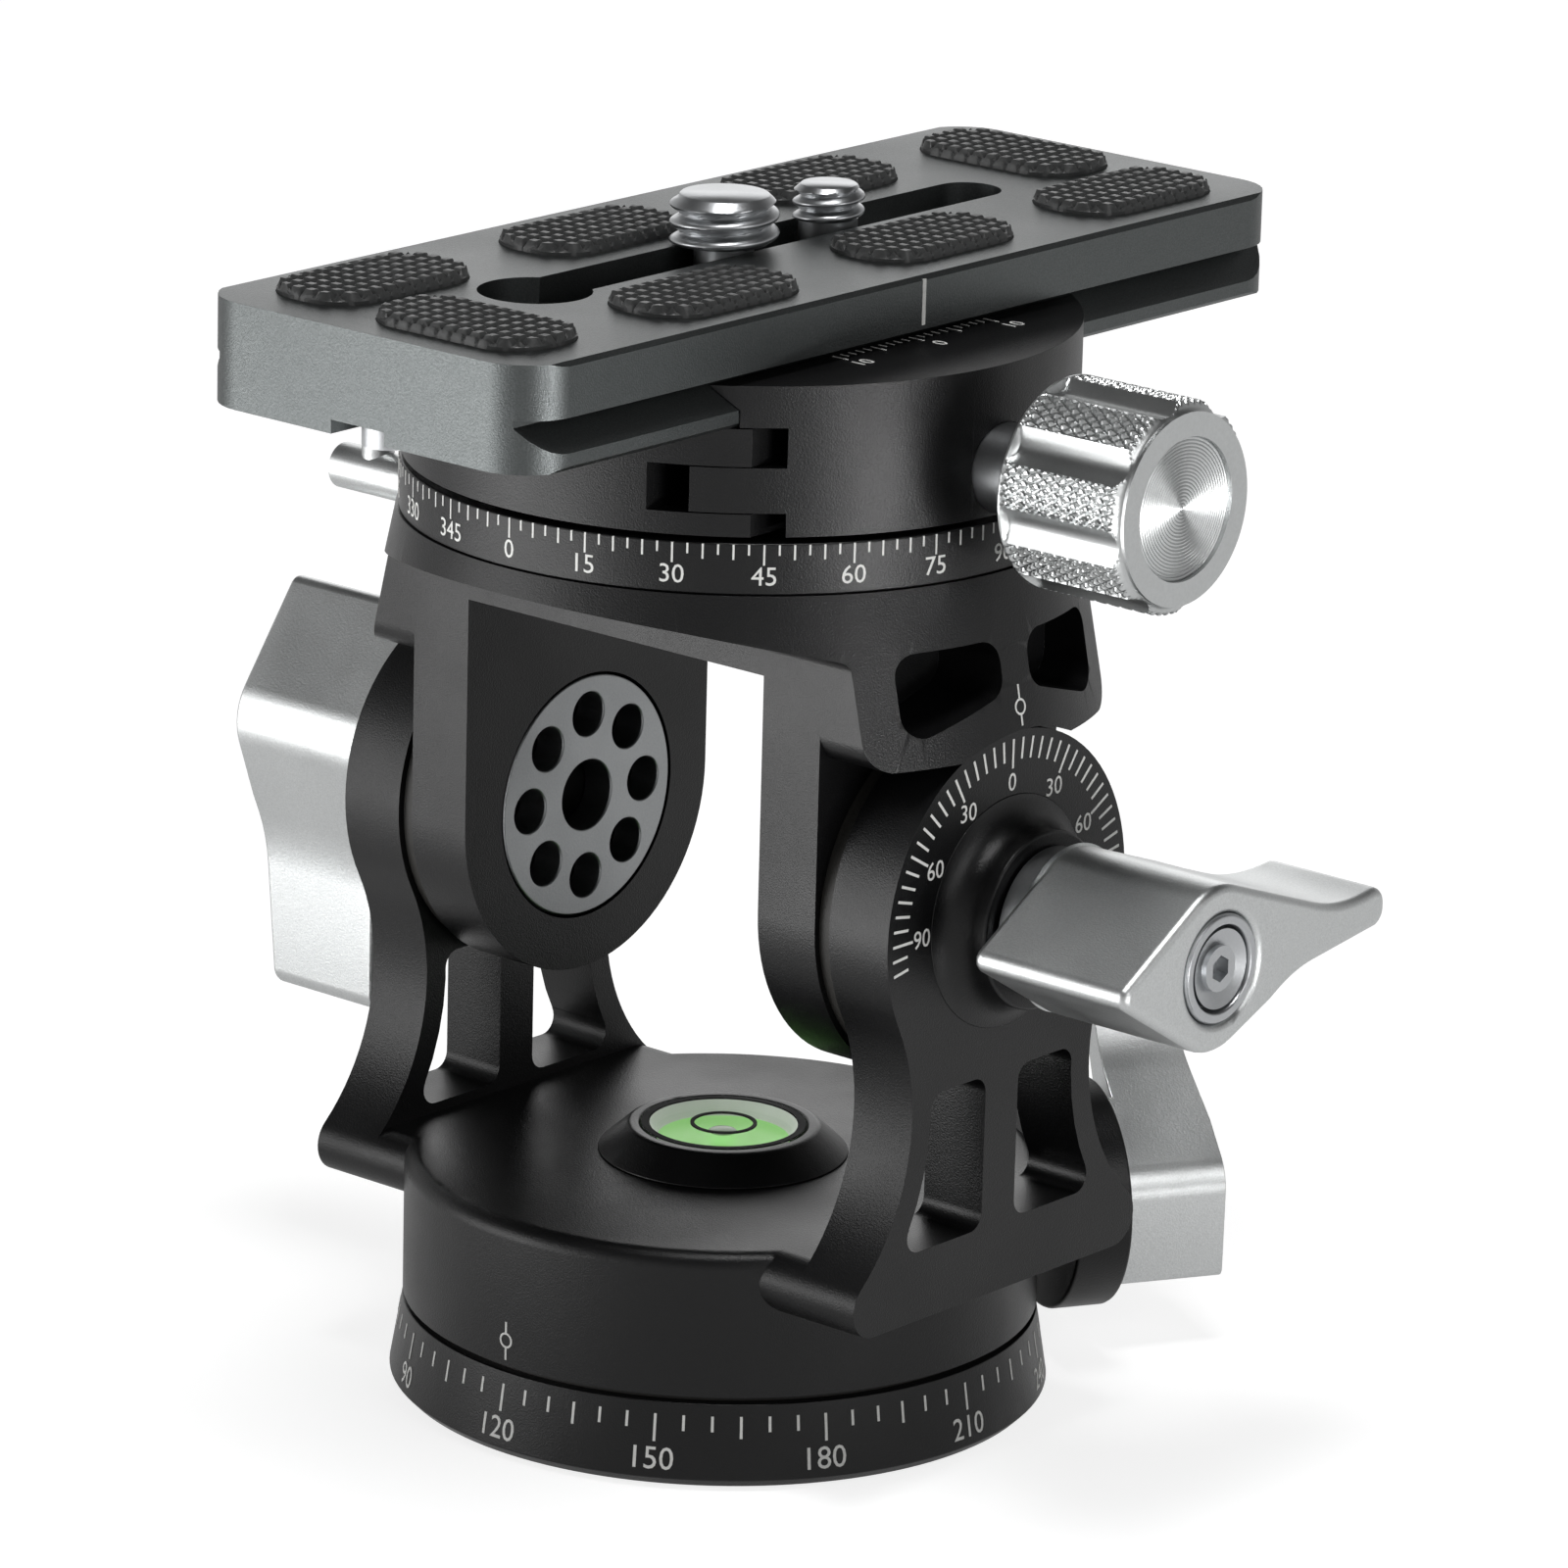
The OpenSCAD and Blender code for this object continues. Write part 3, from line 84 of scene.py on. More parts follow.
# materials
def linear(hexText):  # sRGB hex to linear RGBA
    part = np.array([int(hexText[i:i + 2], 16) for i in (1, 3, 5)]) / 255
    value = np.where(part <= 0.04045, part / 12.92, ((part + 0.055) / 1.055) ** 2.4)
    return (*value.tolist(), 1.0)


def addNode(tree, kind, inputs=None, **settings):
    node = tree.nodes.new(kind)
    for key, value in settings.items():
        setattr(node, key, value)
    for key, value in (inputs or {}).items():
        if isinstance(value, bpy.types.NodeSocket):
            tree.links.new(value, node.inputs[key])
        else:
            node.inputs[key].default_value = value
    return node


def startMaterial(name):
    material = bpy.data.materials.new(name)
    material.use_nodes = True
    material.node_tree.nodes.clear()
    return material, material.node_tree


def closeMaterial(tree, shader):
    addNode(tree, "ShaderNodeOutputMaterial", {"Surface": shader.outputs[0]})


# a metal or its oxide skin with a fine grain: the grain scatters the shine, and a slow drift
# in roughness keeps wide faces from looking like plastic
grainHeight = 0.3  # of the grain's width


def grainedSurface(name, look):
    material, tree = startMaterial(name)
    place = addNode(tree, "ShaderNodeTexCoord").outputs["Object"]
    grain = addNode(tree, "ShaderNodeTexNoise", {
        "Vector": place, "Scale": 1 / (look["grain"] * mm), "Detail": 2.0, "Roughness": 0.6})
    drift = addNode(tree, "ShaderNodeTexNoise", {
        "Vector": place, "Scale": 1 / (look["drift"] * mm), "Detail": 3.0})
    rough = addNode(tree, "ShaderNodeMapRange", {
        "Value": drift.outputs["Fac"], "From Min": 0.3, "From Max": 0.7,
        "To Min": look["roughness"] - look["spread"], "To Max": look["roughness"] + look["spread"]})
    tint = addNode(tree, "ShaderNodeMix", {
        "Factor": grain.outputs["Fac"], 6: linear(look["dark"]), 7: linear(look["light"])},
        data_type="RGBA")
    bump = addNode(tree, "ShaderNodeBump", {
        "Height": grain.outputs["Fac"], "Strength": look["bump"], "Distance": look["grain"] * mm * grainHeight})
    shader = addNode(tree, "ShaderNodeBsdfPrincipled", {
        "Base Color": tint.outputs[2], "Metallic": look["metallic"], "Roughness": rough.outputs[0],
        "IOR": look.get("ior", 1.5), "Specular IOR Level": look.get("specular", 0.5),
        "Normal": bump.outputs[0]})
    closeMaterial(tree, shader)
    return material


# grain and drift are mm; blasted grit is about 0.1 mm and is drawn a little coarser to show in the picture
blackAnodised = grainedSurface("anodised_aluminium_black_blasted", dict(
    dark="#060607", light="#0c0c0d", metallic=0.0, ior=1.4, specular=0.5, roughness=0.36, spread=0.08,
    grain=0.16, drift=18, bump=0.7))  # satin black, soft broad highlights
plateAnodised = grainedSurface("anodised_aluminium_grey_blasted", dict(
    dark="#474a4a", light="#676a6a", metallic=1.0, roughness=0.4, spread=0.04,
    grain=0.16, drift=22, bump=0.6))  # dark metal that keeps some of the shine of the aluminium
greyAnodised = grainedSurface("anodised_aluminium_light_turned", dict(
    dark="#929495", light="#a0a2a3", metallic=1.0, roughness=0.38, spread=0.06,
    grain=0.25, drift=10, bump=0.2))  # light grey, one even sheen over the whole disc
silverBlasted = grainedSurface("aluminium_bead_blasted_clear", dict(
    dark="#b2b4b4", light="#dcdede", metallic=1.0, roughness=0.36, spread=0.06,
    grain=0.16, drift=14, bump=0.4))  # pale satin, bright along its rounded edges
turnedAluminium = grainedSurface("aluminium_turned_bright", dict(
    dark="#b8baba", light="#c8caca", metallic=1.0, roughness=0.32, spread=0.03,
    grain=0.3, drift=8, bump=0.08))  # bright, with sharp light and dark bands
steel = grainedSurface("stainless_steel_turned", dict(
    dark="#b0b2b4", light="#bec0c2", metallic=1.0, roughness=0.33, spread=0.04,
    grain=0.3, drift=6, bump=0.08))  # a shade darker and cooler than the aluminium
studPaintedShade = grainedSurface("steel_stud_painted_shade", dict(
    dark="#050505", light="#090909", metallic=0.0, ior=1.4, specular=0.15, roughness=0.5, spread=0.05,
    grain=0.3, drift=6, bump=0.1))  # near black, painted shade: the stud deep in its disc is drawn this dark so that the eye looks empty
brass = grainedSurface("brass_turned", dict(
    dark="#b08a3e", light="#c09a4c", metallic=1.0, roughness=0.3, spread=0.04,
    grain=0.3, drift=6, bump=0.1))  # warm yellow, hidden inside the head
rubber = grainedSurface("rubber_moulded_black", dict(
    dark="#2c2d2d", light="#383939", metallic=0.0, ior=1.52, roughness=0.45, spread=0.06,
    grain=0.35, drift=5, bump=0.3))  # near black and dull, only its studs catch light
acetal = grainedSurface("acetal_moulded_black", dict(
    dark="#181818", light="#202020", metallic=0.0, ior=1.48, roughness=0.45, spread=0.05,
    grain=0.4, drift=6, bump=0.1))  # smooth dull black
frictionPolymer = grainedSurface("filled_polymer_pressed", dict(
    dark="#1b1a18", light="#262420", metallic=0.0, ior=1.5, roughness=0.6, spread=0.05,
    grain=0.4, drift=6, bump=0.2))  # brownish black without shine
paintFill = grainedSurface("epoxy_paint_filled_white", dict(
    dark="#dcdcd8", light="#ececea", metallic=0.0, ior=1.5, roughness=0.5, spread=0.05,
    grain=0.25, drift=4, bump=0.1))  # white paint wiped into engraved lines
inkLine = grainedSurface("ink_printed_black", dict(
    dark="#030303", light="#060606", metallic=0.0, ior=1.3, specular=0.2, roughness=0.6, spread=0.05,
    grain=0.25, drift=4, bump=0.05))  # flat black line


# cast acrylic: almost clear, seen mainly by the shine on its flat top
def clearAcrylic(name, look):
    material, tree = startMaterial(name)
    place = addNode(tree, "ShaderNodeTexCoord").outputs["Object"]
    drift = addNode(tree, "ShaderNodeTexNoise", {
        "Vector": place, "Scale": 1 / (look["drift"] * mm), "Detail": 2.0})
    rough = addNode(tree, "ShaderNodeMapRange", {
        "Value": drift.outputs["Fac"], "To Min": look["roughness"], "To Max": 2 * look["roughness"]})
    shader = addNode(tree, "ShaderNodeBsdfPrincipled", {
        "Base Color": linear(look["colour"]), "Roughness": rough.outputs[0], "IOR": 1.49,
        "Alpha": look["alpha"]})
    closeMaterial(tree, shader)
    return material


# dyed spirit or milky acrylic: pale and cloudy, with painted light: an even glow stands in for the light that
# passes through it, so it stays bright in the shade
def dyedSpirit(name, look):
    material, tree = startMaterial(name)
    place = addNode(tree, "ShaderNodeTexCoord").outputs["Object"]
    cloud = addNode(tree, "ShaderNodeTexNoise", {
        "Vector": place, "Scale": 1 / (look["cloud"] * mm), "Detail": 2.0})
    tint = addNode(tree, "ShaderNodeMix", {
        "Factor": cloud.outputs["Fac"], 6: linear(look["deep"]), 7: linear(look["pale"])},
        data_type="RGBA")
    # the emission is painted light, a glow in place of light shining through
    shader = addNode(tree, "ShaderNodeBsdfPrincipled", {
        "Base Color": tint.outputs[2], "Roughness": 0.3, "IOR": 1.36,
        "Emission Color": tint.outputs[2], "Emission Strength": look["glow"]})
    closeMaterial(tree, shader)
    return material


acrylic = clearAcrylic("acrylic_cast_clear", dict(colour="#e8eee9", roughness=0.03, drift=8, alpha=0.05))
# both glow with painted light: the spirit and the cup wall stand in this way for light passing through them
spirit = dyedSpirit("spirit_dyed_green_painted_glow", dict(deep="#8ae35f", pale="#aef294", glow=0.42, cloud=7))
milkyWall = dyedSpirit("acrylic_cup_frosted_painted_glow", dict(deep="#c3c8c1", pale="#d8dcd6", glow=0.3, cloud=3))
bubbleGas = clearAcrylic("bubble_of_vapour", dict(colour="#dcefd2", roughness=0.05, drift=3, alpha=0.85))

slotFinish = {
    "black_anodised": blackAnodised, "plate_anodised": plateAnodised, "grey_anodised": greyAnodised,
    "satin_silver": silverBlasted, "turned_aluminium": turnedAluminium, "steel": steel,
    "brass": brass, "rubber": rubber, "acetal": acetal, "friction_polymer": frictionPolymer,
    "vial": acrylic, "level_fluid": spirit,
}
slotOf = {part["node"]: part["material_slot"] for part in frame["record"]["subparts"]}
# the tilt studs take the near black painted shade in place of their steel
nodeFinish = {"tilt_stud_right": studPaintedShade, "tilt_stud_left": studPaintedShade}
for name, node in nodes.items():
    node.data.materials.clear()
    node.data.materials.append(nodeFinish.get(name, slotFinish[slotOf[name]]))
print("materials:", len(bpy.data.materials))

# edges: CAD solids get the small broken edges of machined parts, mm
edgeBreak = {
    "base_ring": 0.25, "pan_fork": 0.4, "level_housing": 0.3, "tilt_collar_right": 0.3,
    "tilt_collar_left": 0.3, "pan_lock_collar": 0.3, "yoke": 0.4, "top_scale_ring": 0.2,
    "clamp_body": 0.35, "clamp_jaw": 0.35, "qr_plate": 0.4, "tilt_disc_right": 0.2,
    "tilt_disc_left": 0.2, "tilt_lever_right": 0.8, "tilt_lever_left": 0.3, "pan_lock_lever": 0.55,
    "lever_washer_right": 0.15, "lever_washer_left": 0.15, "pan_lock_washer": 0.12,
    "top_lock_screw": 0.2, "clamp_screw": 0.1,
}


def breakEdges(node, width):
    weld = node.modifiers.new("weld", "WELD")
    weld.merge_threshold = 0.03 * mm  # slivers beside a cut would fold under the edge
    flat = node.modifiers.new("flat", "DECIMATE")
    flat.decimate_type = "DISSOLVE"
    flat.angle_limit = math.radians(0.5)
    bevel = node.modifiers.new("edge", "BEVEL")
    bevel.width = width * mm
    bevel.segments = 4 if width > 0.5 else 2  # a wide edge shows its facets
    bevel.use_clamp_overlap = not node.name.startswith("tilt_lever")  # chords of their arcs would hold it back
    bevel.limit_method = "ANGLE"
    bevel.angle_limit = math.radians(32)
    node.data.shade_smooth()
    even = node.modifiers.new("even", "WEIGHTED_NORMAL")  # keeps wide faces flat beside their broken edges
    even.weight = 100


for name, width in edgeBreak.items():
    breakEdges(nodes[name], width)
print("edges broken on", len(edgeBreak), "nodes")


# mesh helpers
sameSpot = 1e-7  # m, points nearer than this are one


def gridFaces(rows, cols, wrap=False):
    # quads between neighbours on a grid; wrap joins the last column to the first
    span = cols if wrap else cols - 1
    r, c = np.meshgrid(np.arange(rows - 1), np.arange(span), indexing="ij")
    nextC = (c + 1) % cols
    quads = np.stack([r * cols + c, r * cols + nextC, (r + 1) * cols + nextC, (r + 1) * cols + c], -1)
    return quads.reshape(-1, 4)


def addPiece(name, points, faces, material, body, slot, replaced=(), sharpAngle=40):
    mesh = bpy.data.meshes.new(name)
    mesh.from_pydata((np.asarray(points) * mm).tolist(), [],
                     faces.tolist() if isinstance(faces, np.ndarray) else faces)
    work = bmesh.new()
    work.from_mesh(mesh)
    bmesh.ops.remove_doubles(work, verts=work.verts, dist=sameSpot)
    bmesh.ops.dissolve_degenerate(work, edges=work.edges, dist=sameSpot)
    openEdges = [e for e in work.edges if e.is_boundary]
    if openEdges:
        bmesh.ops.holes_fill(work, edges=openEdges, sides=0)
    bmesh.ops.recalc_face_normals(work, faces=work.faces)
    work.to_mesh(mesh)
    work.free()
    mesh.materials.append(material)
    mesh.shade_smooth()
    mesh.set_sharp_from_angle(angle=math.radians(sharpAngle))
    piece = bpy.data.objects.new(name, mesh)
    bpy.context.scene.collection.objects.link(piece)
    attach(piece, body)
    if replaced:
        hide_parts(*replaced)
    return piece


def triangleWave(value):  # 0 at whole numbers, 1 half way between them
    return 2 * np.abs(value - np.floor(value + 0.5))


def smoothStep(low, high, value):
    t = np.clip((value - low) / (high - low), 0, 1)
    return t * t * (3 - 2 * t)


# knob: knurled strips between smooth hollow flutes, with a turned dish in its end
knob = dict(
    axisZ=89.0, backX=36.0, endX=49.0, radius=9.2, backBevel=0.3, rimRadius=8.3, shoulder=0.95, rimLong=0.4,
    cutFrom=0.4, cutFull=0.7,  # flutes and knurl begin and reach their depth this far from the back
    fadeLong=0.25,  # the knurl runs out over this length from the shoulder on
    dishRadius=6.2, dishDepth=0.4, flutes=8, fluteTurn=103.5, fluteHalf=11.0, fluteDepth=0.8,
    diamonds=64, diamondLong=1.35, diamondDepth=0.34, diamondSlope=1.5, around=512, along=84,
    cutPitch=0.3, cutDepth=0.04, dishRows=84,  # tool rings in the dish, coarser than real ones so that they show
)


def makeKnob(look):
    # radius over (x, angle): a profile along x, less the flute's hollow or the diamond grooves
    turn = np.linspace(0, 2 * np.pi, look["around"], endpoint=False)
    bodyX = np.linspace(look["backX"] + look["backBevel"], look["endX"], look["along"])
    x, angle = np.meshgrid(bodyX, turn, indexing="ij")
    steps = look["endX"] - np.array([look["shoulder"], look["rimLong"]])
    straight = np.interp(x, steps, [look["radius"], look["rimRadius"]])
    pitch = 2 * np.pi / look["flutes"]
    off = (angle - math.radians(look["fluteTurn"]) + pitch / 2) % pitch - pitch / 2
    half = math.radians(look["fluteHalf"])
    inFlute = np.abs(off) < half
    start = smoothStep(look["backX"] + look["cutFrom"], look["backX"] + look["cutFull"], x)
    hollow = look["fluteDepth"] * (1 - (off / half) ** 2) * start
    u, w = angle * look["diamonds"] / (2 * np.pi), x / look["diamondLong"]
    peak = np.clip(np.minimum(triangleWave(u + w), triangleWave(u - w)) * look["diamondSlope"], 0, 1)
    fadeFrom = look["endX"] - look["shoulder"]
    endFade = 1 - smoothStep(fadeFrom, fadeFrom + look["fadeLong"], x)
    groove = look["diamondDepth"] * (1 - peak) * start * endFade
    radius = np.minimum(straight, look["radius"] - np.where(inFlute, hollow, groove))
    ends = [(look["backX"], 0.0), (look["backX"], look["radius"] - look["backBevel"])]
    ringR = np.linspace(look["dishRadius"], 0, look["dishRows"])
    ringX = look["endX"] - look["dishDepth"] + look["cutDepth"] * np.sin(2 * np.pi * ringR / look["cutPitch"])
    front = [(look["endX"], look["dishRadius"])] + np.stack([ringX, ringR], -1).tolist()
    before = np.array(ends)[:, :, None] * np.ones(look["around"])
    after = np.array(front)[:, :, None] * np.ones(look["around"])
    allX = np.concatenate([before[:, 0], x, after[:, 0]])
    allR = np.concatenate([before[:, 1], radius, after[:, 1]])
    allA = np.broadcast_to(turn, allX.shape)
    points = np.stack([allX, allR * np.cos(allA), look["axisZ"] + allR * np.sin(allA)], -1)
    addPiece("knob_grip", points.reshape(-1, 3), gridFaces(len(allX), look["around"], True),
             turnedAluminium, "knob", "turned_aluminium", ("clamp_knob",), 30)


makeKnob(knob)


# camera screws: a rounded helical thread over a plain neck and head
cameraScrews = dict(
    large=dict(node="camera_screw_large", body="large_screw", pitch=1.5875, radius=4.7625, turn=0.0),
    small=dict(node="camera_screw_small", body="small_screw", pitch=1.27, radius=3.175, turn=1.6),
    depthShare=0.55, crestPower=0.7, leadSlope=1.1, leadShare=1.1, headRadius=6.4, neckRadius=2.6,
    headHigh=2.8, threadFoot=104.1, around=72, steps=14,
)


def makeScrew(name, look, shared):
    # radius over (z, angle): minor radius plus a rounded crest that climbs one pitch a turn
    low, high = (np.array(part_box(look["node"])[i]) / mm for i in (0, 1))
    middle = (low + high) / 2
    top = high[2]
    depth = look["pitch"] * shared["depthShare"]
    count = int((top - shared["threadFoot"]) / look["pitch"] * shared["steps"]) + 2
    zRows = np.linspace(shared["threadFoot"], top, count)
    turn = np.linspace(0, 2 * np.pi, shared["around"], endpoint=False)
    z, angle = np.meshgrid(zRows, turn, indexing="ij")
    crest = 0.5 + 0.5 * np.cos(2 * np.pi * (z / look["pitch"] - angle / (2 * np.pi) + look["turn"]))
    radius = look["radius"] - depth * (1 - crest ** shared["crestPower"])
    lead = look["radius"] - depth * shared["leadShare"] + shared["leadSlope"] * (top - z)
    radius = np.minimum(radius, lead)  # the first thread is turned away at the top
    foot = [(low[2], 0.0), (low[2], shared["headRadius"]), (low[2] + shared["headHigh"], shared["headRadius"]),
            (low[2] + shared["headHigh"], shared["neckRadius"]), (shared["threadFoot"], shared["neckRadius"])]
    before = np.array(foot)[:, :, None] * np.ones(shared["around"])
    after = np.array([(top, 0.0)])[:, :, None] * np.ones(shared["around"])
    allZ = np.concatenate([before[:, 0], z, after[:, 0]])
    allR = np.concatenate([before[:, 1], radius, after[:, 1]])
    allA = np.broadcast_to(turn, allZ.shape)
    points = np.stack([middle[0] + allR * np.cos(allA), middle[1] + allR * np.sin(allA), allZ], -1)
    addPiece("thread_" + name, points.reshape(-1, 3), gridFaces(len(allZ), shared["around"], True),
             steel, look["body"], "steel", (look["node"],), 50)


for name in ("large", "small"):
    makeScrew(name, cameraScrews[name], cameraScrews)
print("knob and camera screws made")

# grip pads: a smooth rim round rows of small flat-topped studs
gripPad = dict(count=8, length=17.9, width=9.9, corner=4.0, studPitch=1.5, studBase=0.75, studTop=0.42,
               studHigh=0.7, rim=0.15, rimFade=0.1, rootZ=103.05, gridStep=0.1875)


def makePad(number, look):
    # height over (s, t): t runs along the pad, s across it, and a row narrows at the rounded ends
    node = "grip_pad_%d" % number
    low, high = (np.array(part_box(node)[i]) / mm for i in (0, 1))
    middle, turned = (low + high) / 2, (high - low)[0] > (high - low)[1]
    halfL, halfW = look["length"] / 2, look["width"] / 2
    t = np.linspace(-halfL, halfL, int(look["length"] / look["gridStep"]) + 1)
    s = np.linspace(-1, 1, int(look["width"] / look["gridStep"]) + 1)
    t, s = np.concatenate([t[:1], t, t[-1:]]), np.concatenate([s[:1], s, s[-1:]])
    past = np.clip(np.abs(t) - (halfL - look["corner"]), 0, look["corner"])
    rowHalf = halfW - look["corner"] + np.sqrt(look["corner"] ** 2 - past ** 2)
    along, across = np.meshgrid(t, s, indexing="ij")
    x = across * rowHalf[:, None]
    # distance in from the rounded outline decides where studs may stand
    qx, qy = np.abs(x) - (halfW - look["corner"]), np.abs(along) - (halfL - look["corner"])
    beyond = np.hypot(np.maximum(qx, 0), np.maximum(qy, 0))
    inside = look["corner"] - beyond - np.minimum(np.maximum(qx, qy), 0)
    cellX = np.abs((x / look["studPitch"]) % 1 - 0.5) * look["studPitch"]
    cellY = np.abs((along / look["studPitch"]) % 1 - 0.5) * look["studPitch"]
    reach = np.maximum(cellX, cellY)
    stud = np.clip((look["studBase"] - reach) / (look["studBase"] - look["studTop"]), 0, 1)
    floor = high[2] - look["studHigh"]
    risen = smoothStep(look["rim"] - look["rimFade"], look["rim"] + look["rimFade"], inside)
    z = floor + look["studHigh"] * stud * risen
    edge = np.zeros(z.shape, bool)
    edge[[0, -1]], edge[:, [0, -1]] = True, True
    z = np.where(edge, look["rootZ"], z)
    flat = (along, x) if turned else (x, along)
    points = np.stack([middle[0] + flat[0], middle[1] + flat[1], z], -1)
    addPiece("pad_%d" % number, points.reshape(-1, 3), gridFaces(*z.shape), rubber, "plate", "rubber",
             (node,), 30)


for number in range(1, gripPad["count"] + 1):
    makePad(number, gripPad)
print("grip pads made:", gripPad["count"])

# engraved marks: drawn flat as (along, up, out) in mm, then laid on their surface
markDepth = dict(sunk=0.12, proud=0.03)


def bars(rows):
    # rows of (along0, up0, along1, up1, width): a thin box round each line
    rows = np.array(rows, float)
    start, stop, width = rows[:, 0:2], rows[:, 2:4], rows[:, 4:5]
    run = (stop - start) / np.linalg.norm(stop - start, axis=1, keepdims=True)
    side = np.stack([-run[:, 1], run[:, 0]], -1) * width / 2
    ring = np.stack([start + side, start - side, stop - side, stop + side], 1)
    levels = [np.full(ring.shape[:2] + (1,), v) for v in (-markDepth["sunk"], markDepth["proud"])]
    points = np.concatenate([np.concatenate([ring, v], -1) for v in levels], 1).reshape(-1, 3)
    box = np.array([(0, 1, 2, 3), (4, 7, 6, 5), (0, 4, 5, 1), (1, 5, 6, 2), (2, 6, 7, 3), (3, 7, 4, 0)])
    faces = (np.arange(len(rows))[:, None, None] * 8 + box).reshape(-1, 4)
    return points, [tuple(f) for f in faces.tolist()]


def circleLine(along, up, radius, width, count=40):
    # a flat ring: four corner circles swept once round
    angle = np.linspace(0, 2 * np.pi, count, endpoint=False)
    corners = [(radius - width / 2, -markDepth["sunk"]), (radius + width / 2, -markDepth["sunk"]),
               (radius + width / 2, markDepth["proud"]), (radius - width / 2, markDepth["proud"])]
    corners.append(corners[0])
    r, out = (np.array(corners)[:, i:i + 1] * np.ones(count) for i in (0, 1))
    points = np.stack([along + r * np.cos(angle), up + r * np.sin(angle), out], -1).reshape(-1, 3)
    return points, [tuple(f) for f in gridFaces(len(corners), count, True).tolist()]


def figures(text, along, up, high):
    # plain figures from the built-in face, scaled to their height about their middle
    curve = bpy.data.curves.new("figures", "FONT")
    curve.body, curve.resolution_u = text, 3
    curve.align_x, curve.align_y = "CENTER", "CENTER"
    curve.extrude = markDepth["sunk"]  # only tells the front from the back
    holder = bpy.data.objects.new("figures", curve)
    bpy.context.scene.collection.objects.link(holder)
    bpy.context.view_layer.update()
    mesh = holder.evaluated_get(bpy.context.evaluated_depsgraph_get()).to_mesh()
    flat = np.empty(len(mesh.vertices) * 3)
    mesh.vertices.foreach_get("co", flat)
    flat = flat.reshape(-1, 3)
    faces = [tuple(p.vertices) for p in mesh.polygons]
    bpy.data.objects.remove(holder)
    bpy.data.curves.remove(curve)
    middle = (flat.min(0) + flat.max(0)) / 2
    size = high / np.ptp(flat[:, 1])
    plane = (flat[:, :2] - middle[:2]) * size
    out = np.where(flat[:, 2] > 0, markDepth["proud"], -markDepth["sunk"])
    return np.stack([along + plane[:, 0], up + plane[:, 1], out], -1), faces


def layMarks(name, marks, layOn, body, material=None):
    # joins the marks of one surface into one piece
    points = np.concatenate([m[0] for m in marks])
    shift = np.cumsum([0] + [len(m[0]) for m in marks[:-1]])
    faces = [tuple(int(i + s) for i in f) for m, s in zip(marks, shift) for f in m[1]]
    return addPiece(name, np.stack(layOn(*points.T), -1), faces, material or paintFill, body, None, (), 30)


def onDrum(radius):
    # along is arc length from the front towards +X
    def lay(along, up, out):
        return (radius + out) * np.sin(along / radius), -(radius + out) * np.cos(along / radius), up
    return lay


# pan scale on the base: a line each 5 degrees, longer at 15 and 30, figures each 30
panScale = dict(topZ=6.35, short=1.35, middle=1.9, long=2.4, width=0.24, figureZ=2.5, figureHigh=1.95,
                lowR=29.4, lowZ=0.8, highR=28.3, highZ=7.4, drawR=29.0, zeroAt=240)


def panRadius(z):
    s = panScale
    return s["lowR"] + (z - s["lowZ"]) / (s["highZ"] - s["lowZ"]) * (s["highR"] - s["lowR"])


def onPanScale(along, up, out):
    r = panRadius(up)
    t = along / panScale["drawR"]  # figures and lines are drawn at this radius
    return (r + out) * np.sin(t), -(r + out) * np.cos(t), up


def scaleLines(look, radius, degrees, longStep, middleStep):
    # upright lines hung from one height, longer at each whole step
    rows = []
    for d in degrees:
        along = math.radians(d) * radius
        drop = look["long" if d % longStep == 0 else "middle" if d % middleStep == 0 else "short"]
        rows.append((along, look["topZ"], along, look["topZ"] - drop, look["width"]))
    return bars(rows)


marks = [scaleLines(panScale, panScale["drawR"], range(0, 360, 5), 30, 15)]
marks += [figures(str(v), math.radians((v + panScale["zeroAt"]) % 360) * panScale["drawR"], panScale["figureZ"],
                  panScale["figureHigh"]) for v in range(0, 360, 30)]
layMarks("pan_scale", marks, onPanScale, "base")


# index: a small circle on an upright line
indexMark = dict(
    lineWidth=0.2, circle=0.62, circleWidth=0.18, drumRadius=28.3,
    panZ=(8.5, 10.3, 12.0), tiltZ=(66.9, 68.5, 70.4),  # foot of the line, circle, top of the line
)


def indexMarks(lowUp, circleUp, highUp):
    r = indexMark["circle"]
    return [bars([(0, lowUp, 0, circleUp - r, indexMark["lineWidth"]),
                  (0, circleUp + r, 0, highUp, indexMark["lineWidth"])]),
            circleLine(0, circleUp, r, indexMark["circleWidth"])]


layMarks("pan_index", indexMarks(*indexMark["panZ"]), onDrum(indexMark["drumRadius"]), "pan_body")

# tilt scales on both cheeks: lines each 5 degrees over the top half, figures each 30
tiltScale = dict(faceX=31.5, axisZ=50.2, outerR=15.3, short=1.9, long=2.6, width=0.24, figureR=11.5,
                 figureHigh=1.6, spread=100)


def tiltMarks():
    s = tiltScale
    rows = []
    for degrees in range(-s["spread"], s["spread"] + 1, 5):
        a = math.radians(degrees)
        inner = s["outerR"] - (s["long"] if degrees % 30 == 0 else s["short"])
        rows.append((math.sin(a) * s["outerR"], math.cos(a) * s["outerR"],
                     math.sin(a) * inner, math.cos(a) * inner, s["width"]))
    marks = [bars(rows)]
    for degrees in range(-90, 91, 30):
        a = math.radians(degrees)
        marks.append(figures(str(abs(degrees)), math.sin(a) * s["figureR"], math.cos(a) * s["figureR"],
                             s["figureHigh"]))
    return marks


layMarks("tilt_scale_right", tiltMarks(),
         lambda a, u, o: (tiltScale["faceX"] + o, a, tiltScale["axisZ"] + u), "pan_body")
layMarks("tilt_scale_left", tiltMarks(),
         lambda a, u, o: (-tiltScale["faceX"] - o, -a, tiltScale["axisZ"] + u), "pan_body")


yokeCone = dict(topR=29.8, topZ=80.0, flare=0.2)


